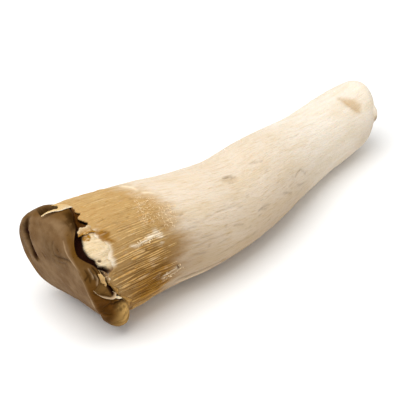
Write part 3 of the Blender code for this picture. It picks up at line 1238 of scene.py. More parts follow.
@dataclass
class Stem:
    """The stem from the torn edge of the gills to the rounded base."""

    cap: Cap
    flesh: TornFlesh
    columns: int = 480
    gill_end: Table = (
        (-90, 16), (-60, 14), (-29, 13), (-6, 17.8), (17, 20.4), (48, 22.2), (75, 20.6), (108, 18),
        (170, 18), (215, 16),
    )
    wave: Point = (0.22, 3.0, 2.3)
    base_tilt: float = 0.1
    knob: Hump = Hump(80, 75, 4.4)
    knob_bell: Pair = (159.0, 5.5)
    nub: Pair = (156.7, 3.0)
    nub_size: Pair = (1.7, 2.9)
    nub_reach: float = 1.6
    nub_radius: float = 11.0
    edge_lip: float = 0.75
    # Shares of the radius that are left where the rounded base has its rings.
    left_at_base: tuple[float, ...] = (
        0.99, 0.95, 0.9, 0.82, 0.74, 0.66, 0.57, 0.48, 0.39, 0.3, 0.2, 0.1, 0.03,
    )
    swells: Noise = Noise(14, 12, 31, 0.24, LAYERED)
    fibrils: tuple[Noise, Noise] = (Noise(13, 120, 32, 0.05), Noise(5, 200, 33, 0.035))
    furrows: Noise = Noise(8, 78, 61)
    fine_furrows: Noise = Noise(4, 150, 62, 0.14)
    furrowed: Hump = Hump(-5, 80)
    end_waves: tuple[Noise, Noise] = (Noise(1, 44, 41, 2.4), Noise(9, 130, 42, 1.6))
    end_spots: Noise = Noise(5, 60, 43, 2.2, LAYERED)
    golden: Hump = Hump(-12, 50, 0.95)
    front: Hump = Hump(-5, 75)
    dark_streaks: Noise = Noise(4.5, 110, 63)
    short_streaks: Noise = Noise(2.6, 150, 66)
    streaked: Hump = Hump(50, 55, 0.7)
    dashes: Noise = Noise(3.2, 120, 67)
    dashed: Hump = Hump(5, 75, 0.3)
    pale_streaks: Noise = Noise(3, 140, 64)
    shade_waves: Noise = Noise(16, 14, 65, 0.12, LAYERED)
    browner: Hump = Hump(5, 60, 0.17)
    low_end_shade: Hump = Hump(-12, 52, 0.34)
    # Drawn in lengths along the spine and round it at the chart's radius.
    marks: Marks = (
        Patch(((143.4, 33), (145.6, 29), (148, 24.5), (149.2, 18.6), (146.6, 15.4), (144.4, 17.7),
            (142.4, 24.2), (142.4, 31)), 1.9, 0.45, 0.56, Mask.TAN, rough=0.4),
        Stroke(((143.8, 29), (143.6, 24), (144.9, 18.6), (146.2, 15.4)), 1.8, 0.2, 0.66, Mask.TAN),
        Stroke(((136, 47.5), (138, 47.5)), 2, -0.5),
        Stroke(((52.8, 25.6), (55.4, 24.6), (58, 23.2)), 1.7, 0.6, 0.22, Mask.GOLD, 1.6),
        Stroke(((53.2, 26.8), (56.4, 26.3), (58.4, 24.6)), 0.5, 0.3, 0.4),
        Stroke(((53, 23.6), (55.6, 22.6)), 0.35, 0.1, 0.3),
        Stroke(((69, 26.6), (72, 25.6), (76, 23.8)), 0.7, 0.3, 0.16),
        Stroke(((88.4, 7.2), (90.6, 8.4), (93.8, 8.7), (96.4, 6.4), (97.6, 3)), 0.6, 0.3, 0.24),
        Stroke(((89, 3.6), (91.6, 1.2), (95, 0.6)), 0.5, 0.25, 0.2),
        Stroke(((77.6, 5), (80.6, 3.4), (84.2, 1.2)), 0.5, 0.25, 0.24),
        Stroke(((61.4, 6), (63.4, 5.2), (65.8, 3.8)), 0.5, 0.25, 0.22),
        Stroke(((45, 5.6), (47.6, 5), (50.8, 3.6)), 0.45, 0.25, 0.25),
        Stroke(((99, 26), (103, 25), (106, 25.4)), 0.6, 0.2, 0.1),
        Stroke(((24.2, 10.7), (26.8, 11.1), (29.2, 10.7)), 0.4, 0.2, 0.2),
        Stroke(((25.6, 0.2), (28.4, -0.5), (31.1, -0.8)), 0.45, 0.25, 0.22),
        Stroke(((28.9, 5.7), (31, 6.1), (33.2, 5.7)), 0.4, 0.2, 0.18),
        Stroke(((36.2, 0.7), (40, 1.2), (43, 1.5)), 0.4, 0.2, 0.16),
        Stroke(((24.2, 16.8), (26.4, 17.3)), 0.4, 0.2, 0.3),
        Stroke(((7.4, -2.3), (9.6, -1.8), (11.7, -1.9)), 0.45, 0.3, 0.6),
        Stroke(((17.4, -1), (18, -2), (18.8, -3.4)), 0.55, 0.5, 0.95),
        Stroke(((19, -10.4), (27, -11.7), (36, -12.3), (45, -12)), 0.7, 0.7, 0.4),
        Stroke(((20, -12.6), (28, -13.6), (37, -14)), 0.8, -0.4, 0.4, Mask.LIGHT),
        Stroke(((36, -5), (48, -4), (60, -4.6)), 0.5, 0.2, 0.14),
        Stroke(((24, 3), (33, 4.2), (41, 3.6)), 0.4, 0.2, 0.16),
        Stroke(((30, 12), (40, 13.6), (52, 13)), 0.4, 0.15, 0.12),
        Stroke(((-0.6, 13.2), (2.6, 12.4), (5, 12.8), (7.6, 13.1)), 0.6, -0.15, 0.85, Mask.LIGHT,
            rough=0.8),
        Stroke(((7, 12.8), (11.4, 14.1), (14.2, 13)), 1, -0.15, 0.85, Mask.LIGHT, 1.2, rough=1),
        Stroke(((10.8, 13.4), (13.8, 11.9)), 0.7, -0.1, 0.8, Mask.LIGHT, rough=0.8),
        Stroke(((12, 10.2), (13.4, 9.8)), 0.35, -0.1, 0.9, Mask.LIGHT),
        Stroke(((18.4, 41.6), (19.3, 37.4), (19.2, 33.8)), 0.9, -0.1, 0.8, Mask.LIGHT, rough=0.9),
        Stroke(((19.4, 31.8), (21.2, 30.4), (23, 29.2)), 0.6, -0.1, 0.7, Mask.LIGHT, rough=0.8),
        Stroke(((10, -3.8), (14, -2.8), (18.4, -1.9)), 0.55, -0.1, 0.7, Mask.LIGHT, rough=0.9),
        Stroke(((11, -5.4), (16, -4.2), (20, -3.4)), 0.5, -0.1, 0.5, Mask.LIGHT, rough=0.9),
        Patch(((3.2, 11.7), (8.5, 11.2), (12.6, 8.9), (11.6, 7.3), (6.5, 8.4), (3.4, 10.1)), 0.7, 0.1, 0.55,
            Mask.GOLD, rough=0.8),
        Stroke(((4.6, 10.1), (5.6, 9.9)), 0.45, 0.3, 0.8),
        STAIN,
        STAIN_DOT,
    )

    def bed(self, place: Array) -> Array:
        """Gives the reach of the plain skin between the gills."""
        return LINE.radius(place) - 0.15

    def fresh(self, place: Array, turns: Array) -> Array:
        """Says where the gills fade in softly from the white flesh."""
        return self.flesh.whiteness(turns) * (1.0 - ease(place - self.flesh.gill_edge(turns), 0.2, 2.8))

    def tan(self, places: Array, turns: Array) -> Array:
        """Says where the skin is tan: over the gills, with a soft streaky end.

        Args:
            places: Places along the spine.
            turns: Turns round it.

        Returns:
            0 to 1 at each point.
        """
        past = places - from_table(self.gill_end, turns) - self.end_spots.at(places, turns)
        past -= self.end_waves[0].at(0.0, turns) + self.end_waves[1].at(places, turns)
        return 1.0 - ease(past, -8.0, 11.0)

    def furrow(self, places: Array, turns: Array) -> Array:
        """Gives the height of the furrows that the gills lie in, deepest low on the front.

        Args:
            places: Places along the spine.
            turns: Turns round it.

        Returns:
            The height at each point, which fades past the end of the gills.
        """
        end = from_table(self.gill_end, turns)
        low = (0.3 + 0.7 * self.furrowed.at(turns)) * (1.0 - ease(places, end - 3.0, end + 9.0))
        return (0.34 * self.furrows.at(places, turns) + self.fine_furrows.at(places, turns)) * low

    def tints(self, places: Array, turns: Array) -> tuple[Array, Masks]:
        """Works out the tints that the skin and the gills share.

        Args:
            places: Places along the spine.
            turns: Turns round it.

        Returns:
            How deep the marks dent the skin, and the masks.
        """
        masks = no_tints(places.shape)
        dent = draw(self.marks, places, arc(turns), 1.0, masks)
        fresh = self.fresh(places, turns)
        tan = self.tan(places, turns) * (1.0 - 0.9 * fresh)
        low = 0.25 + 0.75 * self.front.at(turns)
        dark = ease(self.dark_streaks.at(places, turns), 0.35, 0.85) * low
        dark += self.streaked.at(turns) * ease(self.short_streaks.at(places, turns), 0.5, 0.9)
        # Darker in the furrows' troughs as well: painted shade.
        dark = np.maximum(dark, ease(-self.furrows.at(places, turns), 0.1, 0.7) * low)
        dashes = ease(self.dashes.at(places, turns), 0.6, 0.95) * self.dashed.at(turns)
        dashes = dashes * (1.0 - ease(places, 70.0, 110.0))
        pale = ease(self.pale_streaks.at(places, turns), 0.5, 0.95)
        # Darker towards the underside: painted shade; the browner patch near the gills is added to it.
        under = 1.0 - ease(np.sin(np.radians(turns)) + self.shade_waves.at(places, turns), -0.5, 1.0)
        browner = bell(places, 24.0, 12.0) * self.browner.at(turns)
        shade = (0.06 + 0.44 * under) * (1.0 - 0.55 * ease(places, 80.0, 125.0)) + browner
        show(masks, Mask.TAN, np.maximum(tan, 0.25 * (1.0 - ease(places, 70.0, 120.0))))
        show(masks, Mask.BAND, shade * (1.0 - tan) * (1.0 - fresh))
        show(masks, Mask.GROOVE, 0.5 * dark * tan + dashes * (1.0 - tan))
        show(masks, Mask.FIBRE, 1.0 - 0.6 * ease(places, 85.0, 135.0))
        show(masks, Mask.LIGHT, 0.15 * pale * tan)
        show(masks, Mask.LIGHT, 0.7 * fresh * (1.0 - masks[Mask.GOLD]))
        show(masks, Mask.GOLD, self.golden.at(turns) * ease(places, -12.0, 4.0) * tan)
        return dent, masks

    def rings(self, turns: Array) -> tuple[list[tuple[Array, Array]], list[int]]:
        """Lists the rings of the stem's profile before its relief.

        Args:
            turns: Turn of each column.

        Returns:
            Rings as (place, reach), and how many fine rings go between each two.
        """
        start = self.flesh.gill_edge(turns)
        end = from_table(self.gill_end, turns) + 6.0
        top = self.bed(start)
        lip = self.edge_lip * (1.0 - 0.85 * self.flesh.whiteness(turns))
        rings = [
            (start + 2.6, top - 2.6),
            (start + 0.5, top - lip - 0.1),
            (start - 0.05, top - 0.5 * lip),
            (start + 0.15, top - 0.05),
        ]
        gilled = [start + (end - start) * share for share in np.linspace(0.08, 1.0, 12)]
        rings += [(place, self.bed(place)) for place in gilled]
        for share in np.linspace(0.0, 1.0, 14)[1:]:
            place = end + (LINE.base_start - end) * share
            rings.append((place, self.bed(place) + 0.15 * share))
        for left in self.left_at_base:
            share = (1.0 - left**LINE.base_roundness) ** (1.0 / LINE.base_roundness)
            place = np.full(turns.shape, LINE.base_start + (LINE.base_end - LINE.base_start) * share)
            rings.append((place, LINE.radius(place)))
        return rings, [2] * 3 + [5] * 12 + [8] * 13 + [3] * len(self.left_at_base)

    def skin(self) -> Skin:
        """Shapes and tints the stem.

        Returns:
            The stem's skin.
        """
        turns = ring_turns(self.columns)
        places, reaches = through(*self.rings(turns))
        rows = np.arange(len(places))[:, None]
        dent, masks = self.tints(places, turns)
        plain = ease(places, from_table(self.gill_end, turns), 30.0)
        before_base = plain * (1.0 - ease(places, LINE.base_start - 8.0, LINE.base_start + 4.0))
        depth, waves, twist = self.wave
        round_off = LINE.rounding(places)
        relief = depth * np.sin(np.radians(waves * turns + twist * places)) * before_base - dent
        relief += self.swells.at(places, turns) * plain * ease(round_off, 0.1, 0.7)
        for fibrils in self.fibrils:
            relief += fibrils.at(places, turns + 0.3 * places) * before_base
        relief += self.furrow(places, turns) - 0.06
        relief += self.knob.at(turns) * bell(places, *self.knob_bell) * ease(round_off, 0.0, 0.3)
        nub_around = arc(turns, self.nub_radius) - self.nub[1]
        length, width = self.nub_size
        nub = np.exp(-(np.hypot((places - self.nub[0]) / length, nub_around / width) ** 4))
        relief += self.nub_reach * nub
        # A darker low end near the floor: painted shade.
        low_end_shade = ease(places, 126.0, 146.0) * self.low_end_shade.at(turns)
        show(masks, Mask.BAND, 0.9 * nub * ease(-nub_around, -0.6, 1.8) + low_end_shade)
        # Painted shade along and under the torn edge, except where the flesh is white.
        torn = 0.55 * (1.0 - ease(rows, 4.0, 7.0)) * (1.0 - self.flesh.whiteness(turns))
        # Painted shade on the skin between the gills, strongest low on the front.
        shade_between_gills = self.tan(places, turns) * (0.15 + 0.85 * self.furrowed.at(turns))
        show(masks, Mask.GROOVE, np.maximum(torn, 0.54 * shade_between_gills * (1.0 - self.fresh(places, turns))))
        reaches = reaches + relief * ease(rows, 5.0, 8.0)
        places = places + self.base_tilt * reaches * np.sin(np.radians(turns)) * LINE.over_base(places)
        poles = (4.0, 0.0, 90.0), (LINE.base_end + 0.1, 0.0, 90.0)
        return Skin("stem", places, reaches, turns, poles, masks)


@dataclass
class Gills:
    """The gills: thin ridges that run down the stem from the torn edge and sink into it."""

    stem: Stem
    count: int = 176
    samples: int = 36
    radius: float = 0.3
    sides: int = 6
    wobble: float = 0.06
    wobble_scale: float = 160.0
    seed: int = 51
    least_height: float = 0.45
    wander: Noise = Noise(9, 60, 52, 0.9)
    swells: Noise = Noise(3.5, 176, 53, 0.5)
    low: Hump = Hump(-5, 85, 0.44)

    def guides(self) -> bpy.types.Object:
        """Draws a line on the skin for each gill.

        Returns:
            An object of edges, with each point's share of the gill's thickness.
        """
        rng, each = np.random.default_rng(self.seed), (self.count, 1)
        turn = ring_turns(self.count)[:, None] + rng.uniform(-0.4, 0.4, self.count)[:, None]
        late = np.where(rng.random(self.count) < 0.3, rng.uniform(0.12, 0.5, self.count), 0.0)[:, None]
        shares = late + (1.0 - late) * np.linspace(0.0, 1.0, self.samples)
        turns = turn + self.wander.at(shares * 20.0, turn)
        start = self.stem.flesh.gill_edge(turns) + 0.3
        end = from_table(self.stem.gill_end, turns) + rng.uniform(-4.0, 5.0, each)
        place = start + (end - start) * shares
        size = rng.uniform(0.75, 1.3, each) * ease(shares, late - 0.01, late + 0.05) ** 0.5
        size *= 0.85 + self.swells.at(place, turn)
        size = size * (1.0 - 0.7 * ease(shares, 0.55, 1.0)) * (1.0 - 0.8 * self.stem.fresh(place, turns))
        sunk = 0.5 - self.low.at(turns) + 0.35 * ease(shares, 0.6, 1.0)
        dent, masks = self.stem.tints(place, turns)
        reach = self.stem.bed(place) + self.stem.furrow(place, turns) - dent - sunk * self.radius * 2.0 + 0.04
        show(masks, Mask.GROOVE, rng.uniform(-1.2, 0.3, each))
        first = np.arange(self.count)[:, None] * self.samples + np.arange(self.samples - 1)
        edges = np.stack((first, first + 1), axis=-1).reshape(-1, 2)
        points = LINE.points(place, reach, turns, self.least_height).reshape(-1, 3)
        mesh = bpy.data.meshes.new("gill_lines")
        mesh.from_pydata(points.tolist(), edges.tolist(), [])
        add_values(mesh, "lay", lay_of(place, reach, turns).reshape(-1, 3))
        add_values(mesh, "thick", np.maximum(size, 0.1).reshape(-1))
        for mask, values in masks.items():
            add_values(mesh, mask.value, np.clip(values, 0.0, 1.0).reshape(-1))
        return put_in_scene("gills", mesh)

    def tree(self) -> bpy.types.NodeTree:
        """Builds the tree that turns the lines into ridges.

        Returns:
            The node tree.
        """
        sizes = {"Ridge Radius": "Float", "Ridge Sides": "Int", "Wobble": "Float", "Finish": "Material"}
        tree, given = start_tree("gill ridges", sizes)
        links = {"W": float(self.seed), "Scale": self.wobble_scale, "Detail": 0.0}
        noise = add_node(tree, "ShaderNodeTexNoise", links, noise_dimensions="4D")
        links = {0: noise.outputs["Color"], 1: (0.5, 0.5, 0.5)}
        centred = add_node(tree, "ShaderNodeVectorMath", links, operation="SUBTRACT")
        links = {0: centred, "Scale": given["Wobble"]}
        moved = add_node(tree, "ShaderNodeVectorMath", links, operation="SCALE")
        shifted = add_node(tree, "GeometryNodeSetPosition", {"Geometry": given["Geometry"], "Offset": moved})
        lines = add_node(tree, "GeometryNodeMeshToCurve", {"Mesh": shifted})
        thick = add_node(tree, "GeometryNodeInputNamedAttribute", {"Name": "thick"}, data_type="FLOAT")
        sized = add_node(tree, "ShaderNodeMath", {0: thick, 1: given["Ridge Radius"]}, operation="MULTIPLY")
        links = {"Resolution": given["Ridge Sides"], "Radius": 1.0}
        profile = add_node(tree, "GeometryNodeCurvePrimitiveCircle", links)
        links = {"Curve": lines, "Profile Curve": profile, "Scale": sized, "Fill Caps": True}
        end_tree(tree, add_node(tree, "GeometryNodeCurveToMesh", links), given["Finish"])
        return tree

    def build(self, finish: bpy.types.Material) -> bpy.types.Object:
        """Makes the gills.

        Args:
            finish: Their material.

        Returns:
            The gills as one plain mesh.
        """
        values = {"Ridge Radius": self.radius * MM, "Ridge Sides": self.sides}
        values |= {"Wobble": self.wobble * MM, "Finish": finish}
        return grown(self.guides(), self.tree(), values)


@dataclass(frozen=True)
class Sheet:
    """A thin torn sheet of skin that stands off between two edges.

    Attributes:
        name: Its name.
        slot: The slot that it takes its finish from.
        one: Points of its first edge, as (place, turn, reach).
        other: As many points of its second edge.
        tints: What it is tinted with, as (mask, strength at the first edge, strength at the second).
        thickness: Its thickness in the middle.
        bulge: How far it bows outwards between its edges.
        rough: How uneven it is.
        rows: Number of rows along it.
        sides: Number of points round each row.
        waves: Unevenness of its face.
        frays: Unevenness of its edges.
    """

    name: str
    slot: Slot
    one: tuple[Point, ...]
    other: tuple[Point, ...]
    tints: tuple[tuple[Mask, float, float], ...]
    thickness: float = 0.4
    bulge: float = 0.15
    rough: float = 0.12
    rows: int = 56
    sides: int = 28
    waves: Noise = Noise(4, 110, 73)
    frays: Noise = Noise(1, 140, 74)

    def skin(self) -> Skin:
        """Shapes and tints the sheet.

        Returns:
            The sheet's skin.
        """
        at = np.linspace(0.0, len(self.one) - 1.001, self.rows)
        one, other = (smooth_line(np.array(points), at)[:, None, :] for points in (self.one, self.other))
        round_it = np.linspace(0.0, 2.0 * np.pi, self.sides, endpoint=False)[None, :]
        share = 0.5 - 0.5 * np.cos(round_it)
        places, turns, reaches = np.moveaxis(one + (other - one) * share[..., None], -1, 0)
        along = np.linspace(0.0, 1.0, self.rows)[:, None]
        taper = ease(along, -0.05, 0.1) * (1.0 - ease(along, 0.85, 1.05))
        half = 0.5 * self.thickness * np.sign(np.sin(round_it)) * np.abs(np.sin(round_it)) ** 0.6
        waves = self.rough * (2.0 * ragged(places, arc(turns)) + self.waves.at(places, turns))
        reaches = reaches + half * (0.35 + 0.65 * taper) + self.bulge * 4.0 * share * (1.0 - share) + waves
        places = places + self.rough * self.frays.at(0.0, turns + 40.0 * along)
        masks = {mask: start + (end - start) * share**0.5 for mask, start, end in self.tints}
        ends = [tuple(float(part[row].mean()) for part in (places, reaches, turns)) for row in (0, -1)]
        return Skin(self.name, places, reaches, turns, (ends[0], ends[1]), masks)


SHEETS = (
    Sheet(
        "top_flap", Slot.FLESH,
        ((-4.6, 96, 21.7), (-6.6, 95, 22.4), (-9, 94.4, 22.9), (-10.3, 95, 23), (-11.6, 96.4, 23.1),
         (-13.4, 99.6, 22.9), (-15.8, 105.6, 21.9)),
        ((-4.6, 121, 21.7), (-7, 118, 22.6), (-8.7, 114, 23), (-9.2, 105, 23), (-10.7, 100, 23.1),
         (-12.8, 102.4, 22.9), (-15.7, 106.6, 21.9)),
        # Paler along its first edge, partly a painted highlight.
        ((Mask.TAN, 0.2, 1.1), (Mask.LIGHT, 1, -1.6)), 0.34, 0.15,
    ),
    Sheet(
        "pocket_lip", Slot.CAP,
        ((-19.6, 12.4, 21.9), (-18.7, 8.8, 22), (-17.6, 5.8, 22), (-15.8, 2.2, 21.9), (-14.2, -0.4, 21.9),
         (-12.8, -2.8, 21.9), (-11.8, -3, 21.9), (-11.3, -0.2, 22), (-12, 2.6, 22)),
        ((-19.6, 12, 22.5), (-18.8, 8, 23), (-17.7, 4.8, 23.2), (-15.9, 1, 23.2), (-14.2, -1.8, 23.2),
         (-12.5, -4.2, 23.1), (-11.4, -3.6, 23), (-11, -0.2, 22.8), (-11.9, 2.8, 22.6)),
        # Paler along its second, outer edge, partly a painted highlight; darker along its first edge, partly
        # painted shade.
        ((Mask.LIGHT, 0, 1), (Mask.BAND, 0.8, 0)), 0.38, 0, 0.08,
    ),
    Sheet(
        "torn_tip", Slot.FLESH,
        ((-7.6, 67, 21.6), (-9.4, 68, 22.1), (-10.6, 67, 22.4), (-12, 68.6, 22.4), (-12.9, 67.4, 22.3),
         (-13.9, 66, 22)),
        ((-7.6, 57, 21.6), (-9.4, 59, 22.2), (-10.8, 60.4, 22.4), (-12, 59.6, 22.5), (-13.2, 61, 22.3),
         (-15, 61.4, 21.9)),
        ((Mask.TAN, 0.5, 0.6), (Mask.GOLD, 0, 1.1), (Mask.LIGHT, 0.5, 0)), 0.36, 0.05, 0.22,
    ),
    Sheet(
        "end_tip", Slot.FLESH,
        ((-10.9, -4.6, 22), (-10, -4.4, 22.6), (-9.2, -5.8, 22.8), (-8.2, -8, 22.4)),
        ((-10.8, -6.4, 22), (-10, -7.4, 22.6), (-9.2, -8, 22.7), (-8.1, -8.8, 22.4)),
        ((Mask.LIGHT, 0.4, 0.4),), 0.5, 0.2,
    ),
    Sheet(
        "torn_strip", Slot.FLESH,
        ((-15.2, 27.6, 22.2), (-16.3, 23, 23), (-16.4, 18.6, 23), (-15.5, 14.5, 22.9), (-14.4, 10.5, 22.2)),
        ((-15, 27, 22.2), (-14.8, 22, 23), (-14.5, 18, 23), (-14.2, 13.4, 22.8), (-14, 10.2, 22.2)),
        ((Mask.TAN, 1, 0.9), (Mask.BAND, 0.45, 0.15)), 0.45, 0.1, 0.25,
    ),
)


FULL_TURN = 6.283


@dataclass(frozen=True)
class Bits:
    """Small bent bits of dried flesh, scattered over an area of the skin.

    Attributes:
        name: Their name.
        slot: The record's slot that they belong to; not used.
        area: Where they lie, along the spine and round it.
        lift: Height of their middles above the plain skin.
        count: Number of them.
        length: Their mean length.
        radius: Their half width, as a share of their length.
        bend: How far they bend, as a share of their length.
        flatness: Their thickness as a share of their width.
        seed: Fixes the draw.
        lengths: Their shortest and longest, as shares of the mean length.
        sides: Number of pieces along each and of sides round it.
    """

    name: str
    slot: Slot
    area: Patch
    lift: float
    count: int
    length: float
    radius: float
    bend: float
    flatness: float
    seed: int
    lengths: Pair = (0.45, 1.4)
    sides: int = 6

    def points(self) -> bpy.types.Object:
        """Scatters the middles of the bits.

        Returns:
            An object of points, each with the direction that faces away from the skin.
        """
        rng = np.random.default_rng(self.seed)
        corners = np.array(self.area.outline)
        spots = rng.uniform(corners.min(axis=0) - 1.0, corners.max(axis=0) + 1.0, (self.count * 12, 2))
        kept = spots[rng.random(len(spots)) < self.area.strength(*spots.T)][: self.count]
        place, turns = kept[:, 0], np.degrees(kept[:, 1] / CHART_RADIUS)
        reach = LINE.radius(place) + self.lift
        middles, outer = (LINE.points(place, reach + further, turns, 0.5) for further in (0.0, 1.0))
        mesh = bpy.data.meshes.new(f"{self.name}_points")
        mesh.from_pydata(middles.tolist(), [], [])
        add_values(mesh, "facing", (outer - middles) / MM)
        return put_in_scene(self.name, mesh)

    def tree(self) -> bpy.types.NodeTree:
        """Builds the tree that lays a bent bit on each point.

        Returns:
            The node tree.
        """
        sizes = {"Length": "Float", "Radius": "Float", "Bend": "Float", "Flatness": "Float", "Seed": "Int"}
        tree, given = start_tree(self.name, sizes | {"Finish": "Material"})
        middle = add_node(tree, "ShaderNodeCombineXYZ", {"Y": given["Bend"], "Z": 0.08})
        links = {"Resolution": self.sides, "Start": (-0.5, 0.0, 0.0), "End": (0.5, 0.0, 0.0)}
        bow = add_node(tree, "GeometryNodeCurveQuadraticBezier", links | {"Middle": middle})
        links = {"Resolution": self.sides, "Radius": given["Radius"]}
        ring = add_node(tree, "GeometryNodeCurvePrimitiveCircle", links)
        links = {"Curve": bow, "Profile Curve": ring, "Fill Caps": True}
        bit = add_node(tree, "GeometryNodeCurveToMesh", links)
        flat = add_node(tree, "ShaderNodeCombineXYZ", {"X": 1.0, "Y": 1.0, "Z": given["Flatness"]})
        thin = add_node(tree, "GeometryNodeTransform", {"Geometry": bit, "Scale": flat})
        links = {"Name": "facing"}
        facing = add_node(tree, "GeometryNodeInputNamedAttribute", links, data_type="FLOAT_VECTOR")
        upright = add_node(tree, "FunctionNodeAlignRotationToVector", {"Vector": facing}, axis="Z")
        links = {2: 0.0, 3: FULL_TURN, 8: given["Seed"]}
        spin = add_node(tree, "FunctionNodeRandomValue", links, data_type="FLOAT")
        links = {"Axis": (0.0, 0.0, 1.0), "Angle": spin.outputs[1]}
        about = add_node(tree, "FunctionNodeAxisAngleToRotation", links)
        links = {"Rotation": upright, "Rotate By": about}
        turned = add_node(tree, "FunctionNodeRotateRotation", links, rotation_space="LOCAL")
        links = {2: self.lengths[0], 3: self.lengths[1], 8: given["Seed"]}
        chance = add_node(tree, "FunctionNodeRandomValue", links, data_type="FLOAT")
        links = {0: chance.outputs[1], 1: given["Length"]}
        scale = add_node(tree, "ShaderNodeMath", links, operation="MULTIPLY")
        links = {"Points": given["Geometry"], "Instance": thin, "Rotation": turned, "Scale": scale}
        end_tree(tree, add_node(tree, "GeometryNodeInstanceOnPoints", links), given["Finish"])
        return tree

    def build(self, finish: bpy.types.Material) -> bpy.types.Object:
        """Makes the bits.

        Args:
            finish: Their material.

        Returns:
            The bits as one plain mesh.
        """
        values = {"Length": self.length * MM, "Radius": self.radius, "Bend": self.bend}
        values |= {"Flatness": self.flatness, "Seed": self.seed, "Finish": finish}
        return grown(self.points(), self.tree(), values)


SCUFFED = Patch(((8.9, 20.3), (10.5, 26.0), (15.5, 31.1), (25.2, 21.5), (19.4, 14.6), (13.0, 16.5)), 1.5)
CRACK = Patch(((-14.6, 8.0), (-13.4, 6.6), (-11.6, 2.6), (-10.6, 3.0), (-12.2, 7.4), (-13.6, 9.4)), 0.5)
STREAK = Patch(((-0.5, 13.6), (7.0, 13.6), (11.4, 15.4), (14.4, 13.0), (13.6, 11.6), (2.6, 12.0)), 0.5)
LOW_SCUFF = Patch(((9.5, -3.0), (18.5, -1.0), (20.0, -3.4), (12.0, -5.6)), 0.6)
BITS = (
    Bits("scuff_fibres", Slot.GILLS, SCUFFED, 0.1, 240, 0.85, 0.05, 0.4, 0.8, 81),
    Bits("crack_flakes", Slot.FLESH, CRACK, -0.6, 7, 0.5, 0.24, 0.2, 0.45, 82),
    Bits("streak_flakes", Slot.GILLS, STREAK, 0.02, 20, 0.6, 0.22, 0.2, 0.2, 83),
    Bits("low_flakes", Slot.GILLS, LOW_SCUFF, 0.05, 18, 0.8, 0.16, 0.3, 0.25, 84),
)


def start_tree(name: str, inputs: dict[str, str]) -> tuple[bpy.types.NodeTree, bpy.types.bpy_prop_collection]:
    """Starts a node tree for geometry.

    Args:
        name: Its name.
        inputs: The kind of socket for each of its named inputs.

    Returns:
        The tree, and the sockets that give its inputs.
    """
    tree = bpy.data.node_groups.new(name, "GeometryNodeTree")
    for title, kind in {"Geometry": "Geometry", **inputs}.items():
        tree.interface.new_socket(title, in_out="INPUT", socket_type=f"NodeSocket{kind}")
    tree.interface.new_socket("Geometry", in_out="OUTPUT", socket_type="NodeSocketGeometry")
    return tree, add_node(tree, "NodeGroupInput").outputs


def end_tree(tree: bpy.types.NodeTree, shape: bpy.types.Node, finish: bpy.types.NodeSocket) -> None:
    """Ends a node tree with smooth plain geometry in its finish.

    Args:
        tree: The node tree.
        shape: The node that gives its shape.
        finish: The socket that gives its material.
    """
    smooth = add_node(tree, "GeometryNodeSetShadeSmooth", {"Geometry": shape})
    real = add_node(tree, "GeometryNodeRealizeInstances", {"Geometry": smooth})
    dressed = add_node(tree, "GeometryNodeSetMaterial", {"Geometry": real, "Material": finish})
    add_node(tree, "NodeGroupOutput", {"Geometry": dressed})


def grown(base: bpy.types.Object, tree: bpy.types.NodeTree, values: dict[str, object]) -> bpy.types.Object:
    """Runs a node tree on an object and keeps the result as its plain mesh.

    Args:
        base: The object that the tree starts from.
        tree: The node tree.
        values: A value for each of the tree's named inputs.

    Returns:
        The same object, with the new mesh and no modifier.
    """
    modifier = base.modifiers.new(tree.name, "NODES")
    modifier.node_group = tree
    for item in tree.interface.items_tree:
        if item.in_out == "INPUT" and item.name in values:
            modifier[item.identifier] = values[item.name]
    graph = bpy.context.evaluated_depsgraph_get()
    mesh = bpy.data.meshes.new_from_object(base.evaluated_get(graph), depsgraph=graph)
    base.modifiers.clear()
    lines, base.data = base.data, mesh
    bpy.data.meshes.remove(lines)
    mesh.name = base.name
    return base


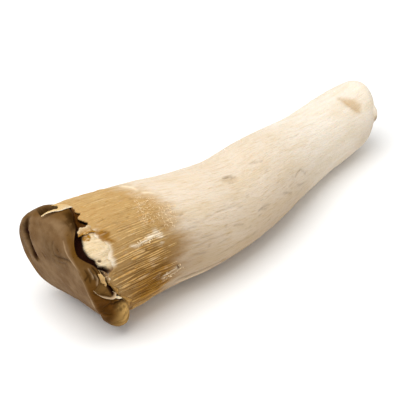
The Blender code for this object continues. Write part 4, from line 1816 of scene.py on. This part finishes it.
@dataclass
class Studio:
    """The pale floor, the soft light and the camera, with lengths in metres."""

    floor_half: float = 3.0
    floor_drop: float = 0.0002
    lamp_at: Point = (-0.46, 0.05, 1.05)
    lamp_aim: Point = (0.0, 0.0, 0.02)
    lamp_width: float = 1.0
    lamp_power: float = 10.8
    room_light: float = 0.67
    target: Point = (0.0099, 0.0202, -0.0006)
    eye: Point = (-0.37766, -0.30943, 0.31735)
    lens: float = 134.85
    sensor: float = 36.0
    clip: Pair = (0.01, 50.0)

    def floor(self) -> None:
        """Lays the floor of matt white paper."""
        values = {"Base Color": linear("#fbfbfa"), "Roughness": 0.9, "Specular IOR Level": 0.1}
        half = self.floor_half
        corners = [(-half, -half), (half, -half), (half, half), (-half, half)]
        mesh = bpy.data.meshes.new("floor")
        mesh.from_pydata([(x, y, -self.floor_drop) for x, y in corners], [], [(0, 1, 2, 3)])
        mesh.materials.append(new_finish("matt white paper", values))
        put_in_scene("floor", mesh)

    def aim(self, name: str, data: bpy.types.ID, at: Point, target: Point) -> bpy.types.Object:
        """Puts a lamp or the camera in its place and turns it to what it faces.

        Args:
            name: Its name.
            data: The lamp or the camera.
            at: Its place.
            target: The point that it faces.

        Returns:
            The object.
        """
        piece = put_in_scene(name, data)
        piece.location = at
        piece.rotation_euler = (Vector(target) - Vector(at)).to_track_quat("-Z", "Y").to_euler()
        return piece

    def light(self) -> None:
        """Hangs a soft square lamp in a soft white room."""
        lamp = bpy.data.lights.new("key lamp", "AREA")
        lamp.size = self.lamp_width
        lamp.energy = self.lamp_power
        self.aim("key lamp", lamp, self.lamp_at, self.lamp_aim)
        world = bpy.data.worlds.new("soft white room")
        world.use_nodes = True
        background = world.node_tree.nodes["Background"]
        background.inputs["Color"].default_value = linear("#ffffff")
        background.inputs["Strength"].default_value = self.room_light
        bpy.context.scene.world = world
        bpy.context.scene.view_settings.view_transform = "Standard"

    def camera(self) -> None:
        """Puts the camera where the photograph was taken from."""
        view = bpy.data.cameras.new("camera")
        view.lens = self.lens
        view.sensor_width = self.sensor
        view.clip_start, view.clip_end = self.clip
        bpy.context.scene.camera = self.aim("camera", view, self.eye, self.target)


def main() -> None:
    """Builds and dresses each piece in order."""
    logging.basicConfig(level=logging.INFO, format="%(name)s %(message)s")
    finishes = {slot: finish.make() for slot, finish in FINISHES.items()}
    cap = Cap()
    flesh = TornFlesh(cap)
    stem = Stem(cap, flesh)
    for part, slot in ((cap, Slot.CAP), (flesh, Slot.FLESH), (stem, Slot.STEM)):
        fit_on(part.skin().build(), finishes[slot])
    fit_on(Gills(stem).build(finishes[Slot.GILLS]), finishes[Slot.GILLS])
    for sheet in SHEETS:
        fit_on(sheet.skin().build(), finishes[sheet.slot])
    pale = PALE_FIBRE.make()
    for bits in BITS:
        fit_on(bits.build(pale), pale)
    studio = Studio()
    studio.floor()
    studio.light()
    studio.camera()


if __name__ == "__main__":
    main()
